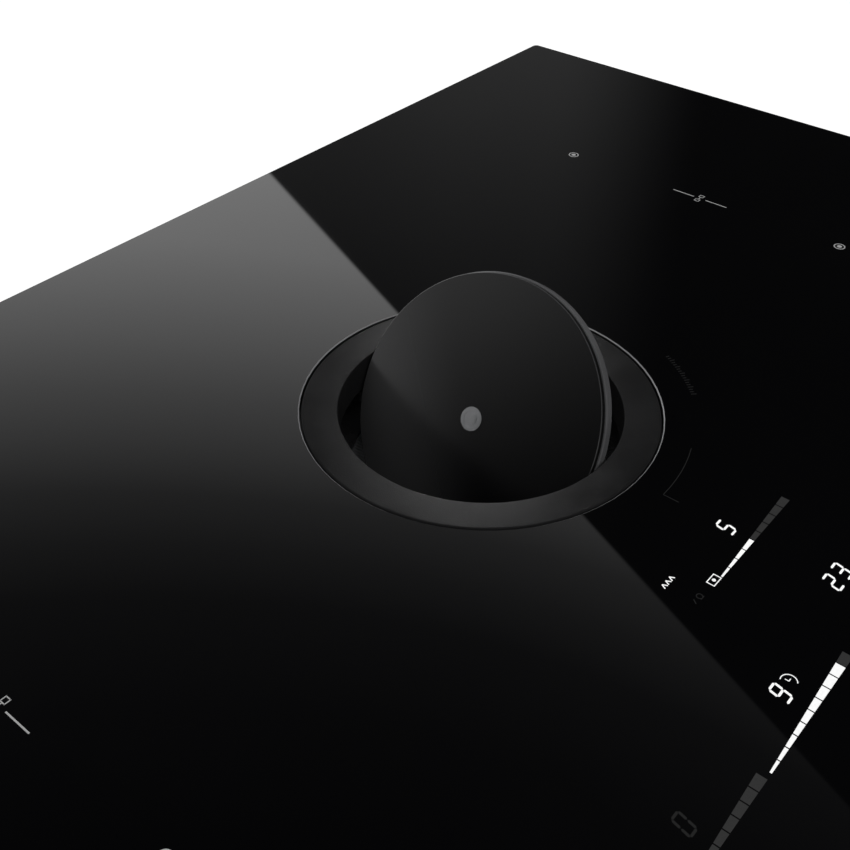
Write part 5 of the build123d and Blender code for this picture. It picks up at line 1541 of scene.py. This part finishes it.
@dataclass
class AirPath:
    """Plenum, blower, outlet duct and dampers.

    Attributes:
        tub_half: half of the plenum's outer width in metres.
        centre_y: the plenum's middle in Y.
        rib_height: of the moulded ribs.
        rib_half: half of a rib's thickness.
        rib_pitch: from one upright rib to the next.
        rib_levels: the lower and upper end of the upright ribs.
        band_levels: the lower edge of each level rib.
        band_reach: half of a level rib's length.
        spigot_x: the outer sides of the duct's mouth.
        spigot_top: the outer top of the duct's mouth.
        spigot_beads: how far back the sealing beads stand.
        spigot_bead: their width and height.
        motor_axis: a point on the blower's axis.
        vents: how many slots there are in the motor's end.
        vent_reach: the slots' inner and outer radius.
        vent_half: half of a slot's width.
        vent_lifts: how far a slot's patch reaches into the motor's end and out of it.
    """

    tub_half: float = 0.095
    centre_y: float = -0.0055
    rib_height: float = 0.0012
    rib_half: float = 0.001
    rib_pitch: float = 0.032
    rib_levels: Point2 = (0.012, 0.138)
    band_levels: Point3 = (0.010, 0.074, 0.138)
    band_reach: float = 0.08
    spigot_x: Point2 = (0.029, 0.251)
    spigot_top: float = 0.089
    spigot_beads: Point2 = (0.226, 0.236)
    spigot_bead: Point2 = (0.0024, 0.0009)
    motor_axis: Point3 = (0.14, -0.025, 0.075)
    vents: int = 10
    vent_reach: Point2 = (0.010, 0.020)
    vent_half: float = 0.0011
    vent_lifts: Point2 = (-0.0004, 0.00006)

    def dress(self) -> None:
        """Puts housing plastic and metal on the air path."""
        HOUSING.dress("plenum_lid", "plenum_tub", "blower_shell_inner", "blower_shell_outer")
        HOUSING.dress("outlet_duct")
        FOAM.dress("pan_gasket")
        GREY.dress("inlet_ring", "damper_upper", "damper_lower")
        SMOOTH_BLACK.dress("impeller", "impeller_blades")
        STEEL.dress("blower_screws", "fan_shaft", "impeller_nut", "fan_motor_screws")
        MOTOR_CAN.dress("fan_motor")
        SILICONE.dress("fan_motor_grommets")
        ZINC.dress("blower_hanger")

    def build(self) -> None:
        """Adds the tub's ribs, the spigot's sealing beads, and painted shade for the motor's vents and
        screw recesses.
        """
        self._tub_ribs()
        self._spigot_beads()
        self._motor_details()

    def _tub_ribs(self) -> None:
        """Moulded ribs on the plenum's three free walls, and a rim below its lid."""
        ribs = Relief()
        side, middle = self.tub_half, self.centre_y
        front, back = middle - side, middle + side
        out, half, reach = self.rib_height, self.rib_half, self.band_reach
        low, high = self.rib_levels
        for k in range(-2, 3):
            x, y = self.rib_pitch * k, middle + self.rib_pitch * k
            ribs.block((x - half, front - out, low), (x + half, front, high))
            ribs.block((x - half, back, low), (x + half, back + out, high))
            ribs.block((-side - out, y - half, low), (-side, y + half, high))
        for z in self.band_levels:
            top = z + 2 * half
            ribs.block((-reach, front - out, z), (reach, front, top))
            ribs.block((-reach, back, z), (reach, back + out, top))
            ribs.block((-side - out, middle - reach, z), (-side, middle + reach, top))
        ribs.make("plenum_ribs", HOUSING, Body.HOB)

    def _spigot_beads(self) -> None:
        """Two sealing beads round the top and sides of the duct's mouth."""
        beads = Relief()
        (x0, x1), top, foot = self.spigot_x, self.spigot_top, 0.001
        for y in self.spigot_beads:
            beads.bead((x0, y, top), (x1, y, top), (0, 0, 1), *self.spigot_bead)
            beads.bead((x0, y, foot), (x0, y, top), (-1, 0, 0), *self.spigot_bead)
            beads.bead((x1, y, foot), (x1, y, top), (1, 0, 0), *self.spigot_bead)
        beads.make("spigot_beads", HOUSING, Body.HOB, 40.0)

    def _motor_details(self) -> None:
        """Painted shade for the vent slots in the motor's end and the recesses in its flange screws.
        """
        vents, recesses = Relief(), Relief()
        outward = Vector((1, 0, 0))
        _, y, z = self.motor_axis
        middle = Vector((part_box("fan_motor")[1].x, y, z))
        near, far = self.vent_reach
        for k in range(self.vents):
            turn = 2 * math.pi * k / self.vents
            out = Vector((0, math.cos(turn), math.sin(turn)))
            side = Vector((0, -out.z, out.y)) * self.vent_half
            a, b = middle + out * near, middle + out * far
            corners = [a - side, b - side, b + side, a + side]
            vents.loft([[c + outward * lift for c in corners] for lift in self.vent_lifts])
        for low, high in screw_heads("fan_motor_screws"):
            recesses.cross(head_face(low, high, outward), outward)
        # painted shade: dark patches stand for the vent slots and screw recesses
        vents.make("fan_motor_vent_painted_shade", PRINT_AND_RECESS_SHADE, Body.HOB)
        recesses.make("fan_motor_screw_recess_painted_shade", PRINT_AND_RECESS_SHADE, Body.HOB)


# ---------------------------------------------------------------- studio
@dataclass
class Studio:
    """Camera, floor, lamps and the light that the surfaces mirror.

    Attributes:
        camera_at: the camera's place in metres.
        heading: its turn from +Y towards +X, in degrees.
        dip: its angle below the horizon, in degrees.
        lens: its focal length in millimetres.
        sensor: its width and height in millimetres; the height sets the view's size.
        rise: how far its lens is shifted up, as a share of the picture.
        edge: normal of the plane that ends the bright panel's reflection.
        ambient: brightness of the light from all round.
    """

    camera_at: Point3 = (-0.31515, -0.23474, 0.49970)
    heading: float = 49.86
    dip: float = 49.999
    lens: float = 39.788
    sensor: Point2 = (28.0, 36.0)
    rise: float = 200 / 850
    edge: Point3 = (-0.7560, 0.3085, 0.5773)
    ambient: float = 0.8

    def camera(self) -> None:
        """Sets up the camera as the photograph was taken."""
        h, d = math.radians(self.heading), math.radians(self.dip)
        ahead = Vector((math.cos(d) * math.sin(h), math.cos(d) * math.cos(h), -math.sin(d)))
        right = Vector((math.cos(h), -math.sin(h), 0.0))
        up = right.cross(ahead)
        data = bpy.data.cameras.new("camera")
        data.lens = self.lens
        data.sensor_fit = "VERTICAL"
        data.sensor_width, data.sensor_height = self.sensor
        data.shift_y = self.rise
        data.clip_start, data.clip_end = 0.01, 60.0
        made = bpy.data.objects.new("camera", data)
        turn = Matrix((right, up, -ahead)).transposed().to_4x4()
        made.matrix_world = Matrix.Translation(self.camera_at) @ turn
        bpy.context.scene.collection.objects.link(made)
        bpy.context.scene.camera = made

    def floor(self) -> None:
        """Lays the white floor that the part stands on."""
        mesh = bpy.data.meshes.new("studio_floor")
        half = 30.0
        corners = [(-half, -half, 0), (half, -half, 0), (half, half, 0), (-half, half, 0)]
        mesh.from_pydata(corners, [], [(0, 1, 2, 3)])
        made = bpy.data.objects.new("studio_floor", mesh)
        bpy.context.scene.collection.objects.link(made)
        material = bpy.data.materials.new("studio_floor_white")
        material.use_nodes = True
        graph = Graph(material.node_tree)
        seen = self._seen(graph)
        lit = graph.node("ShaderNodeBsdfDiffuse", None, {"Color": (0.86, 0.86, 0.86)})
        glow = graph.node("ShaderNodeEmission", None, {"Color": (1.0, 1.0, 1.0), "Strength": 1.25})
        top = graph.node("ShaderNodeMixShader", None, {0: seen * 0.45, 1: lit, 2: glow})
        below = graph.node("ShaderNodeNewGeometry", None, None, "Backfacing")
        clear = graph.node("ShaderNodeBsdfTransparent")
        graph.close(graph.node("ShaderNodeMixShader", None, {0: below, 1: top, 2: clear}))
        mesh.materials.append(material)
        made.visible_glossy = False
        made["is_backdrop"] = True

    @staticmethod
    def _seen(graph: Graph) -> Wire:
        """Tells rays that are seen from rays that only light things.

        Args:
            graph: the node tree.

        Returns:
            One for rays from the camera, a mirror or glass.
        """
        camera = graph.node("ShaderNodeLightPath", None, None, "Is Camera Ray")
        glossy = graph.node("ShaderNodeLightPath", None, None, "Is Glossy Ray")
        through = graph.node("ShaderNodeLightPath", None, None, "Is Transmission Ray")
        return camera.larger(glossy).larger(through)

    def world(self) -> None:
        """Draws the surroundings: white to the camera, a lit panel and dark room in mirrors."""
        world = bpy.data.worlds.new("studio_light")
        bpy.context.scene.world = world
        world.use_nodes = True
        graph = Graph(world.node_tree)
        ray = graph.node("ShaderNodeTexCoord", None, None, "Generated")
        x, y, z = graph.parts(ray)
        inside = graph.along(ray, self.edge).fade(-0.002, 0.002)
        mirror = graph.between(inside, self._room(graph, ray, z), self._panel(graph, x, z))
        mirror = graph.between((-x).fade(0.15, 0.45), mirror, self._window(graph, y, z))
        mirror = graph.between(z.fade(-0.12, 0.06), 0.3, mirror)
        camera = graph.node("ShaderNodeLightPath", None, None, "Is Camera Ray")
        seen = self._seen(graph)
        strength = graph.between(seen, self.ambient, graph.between(camera, mirror, 1.0))
        sky = graph.node(
            "ShaderNodeBackground", None, {"Color": (1.0, 1.0, 1.0), "Strength": strength}
        )
        graph.close(sky, "ShaderNodeOutputWorld")

    def _panel(self, graph: Graph, x: Wire, z: Wire) -> Wire:
        """Draws the bright panel behind the part, which fades upwards.

        Args:
            graph: the world's node tree.
            x: the ray's reach to the right.
            z: its reach upwards.

        Returns:
            The brightness.
        """
        stops = (
            (0.20, 0.95),
            (0.31, 0.97),
            (0.36, 0.82),
            (0.40, 0.68),
            (0.45, 0.48),
            (0.495, 0.335),
            (0.54, 0.17),
            (0.585, 0.095),
            (0.63, 0.045),
            (0.72, 0.02),
            (0.85, 0.0),
        )
        return self._ramp(graph, z - x * 0.28, stops) * 1.36

    def _room(self, graph: Graph, ray: Wire, z: Wire) -> Wire:
        """Draws the dim room beside the panel, darkest to the right.

        Args:
            graph: the world's node tree.
            ray: the ray's direction.
            z: its reach upwards.

        Returns:
            The brightness.
        """
        side = graph.along(ray, (0.5736, -0.8192, 0.0))
        lit = (0.72 + side.fade(-0.2, -0.03) * 0.28) * (1.0 - side.fade(0.03, 0.175))
        stops = ((0.1, 0.75), (0.36, 0.54), (0.47, 0.36), (0.6, 0.15), (0.75, 0.0))
        level = self._ramp(graph, z, stops)
        return lit * level * 0.2 + 0.007

    def _window(self, graph: Graph, y: Wire, z: Wire) -> Wire:
        """Draws the soft light that the open flap mirrors.

        Args:
            graph: the world's node tree.
            y: the ray's reach to the back.
            z: its reach upwards.

        Returns:
            The brightness.
        """
        stops = (
            (0.0, 0.0),
            (0.62, 0.0),
            (0.66, 0.03),
            (0.70, 0.12),
            (0.74, 0.27),
            (0.78, 0.47),
            (0.82, 0.7),
            (0.90, 0.95),
            (1.0, 1.0),
        )
        return self._ramp(graph, y + z * 0.7, stops)

    @staticmethod
    def _ramp(graph: Graph, at: Wire, stops: Sequence[Point2]) -> Wire:
        """Draws a grey ramp.

        Args:
            graph: the world's node tree.
            at: where on the ramp.
            stops: heights and brightnesses.

        Returns:
            The brightness.
        """
        colours = [(place, (level, level, level)) for place, level in stops]
        ramp = graph.node("ShaderNodeValToRGB", {"stops": colours}, {0: at}, "Color")
        value, _, _ = graph.parts(ramp)
        return value

    def lamps(self) -> None:
        """Adds a wide soft lamp over the part, and a smaller one behind it for the ring's sheen."""
        soft = self._lamp("soft_lamp", (0.9, 1.3, 1.9), 2.2, 16.0)
        soft.visible_glossy = False
        sheen = self._lamp("sheen_lamp", (2.12, 1.57, 1.9), 0.3, 32.0)
        sheen.data.use_shadow = False
        sheen.data.cycles.use_multiple_importance_sampling = False
        lit = bpy.data.collections.new("sheen_receivers")
        lit.objects.link(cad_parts["ring_trim"])
        sheen.light_linking.receiver_collection = lit

    def _lamp(self, name: str, at: Point3, size: float, power: float) -> bpy.types.Object:
        """Adds a round lamp that looks at the part.

        Args:
            name: its name.
            at: its place in metres.
            size: its diameter in metres.
            power: its power in watts.

        Returns:
            The lamp.
        """
        data = bpy.data.lights.new(name, "AREA")
        data.shape = "DISK"
        data.size = size
        data.energy = power
        made = bpy.data.objects.new(name, data)
        made.matrix_world = self._towards(at, (0.0, 0.0, 0.15))
        bpy.context.scene.collection.objects.link(made)
        return made

    @staticmethod
    def _towards(place: Point3, aim: Point3) -> Matrix:
        """A transform at place that looks at aim."""
        turn = (Vector(aim) - Vector(place)).to_track_quat("-Z", "Y")
        return Matrix.Translation(place) @ turn.to_matrix().to_4x4()

    def build(self) -> None:
        """Sets up the whole studio."""
        view = bpy.context.scene.view_settings
        view.view_transform = "Standard"
        self.camera()
        self.floor()
        self.world()
        self.lamps()


def corners() -> list[list[float]]:
    """The whole part's box as plain lists, lowest corner first."""
    return [[round(v, 6) for v in corner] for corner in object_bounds()]


def main() -> None:
    """Builds and dresses the cooktop."""
    logging.basicConfig(level=logging.INFO, format="%(name)s: %(message)s")
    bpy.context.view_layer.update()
    Studio().build()
    for assembly in (
        GlassTop(),
        ThroatTrim(),
        TiltingFlap(),
        FilterStack(),
        PanAndCoils(),
        AirPath(),
    ):
        assembly.dress()
        assembly.build()
        LOG.info("finished %s", type(assembly).__name__)


if __name__ == "__main__":
    main()
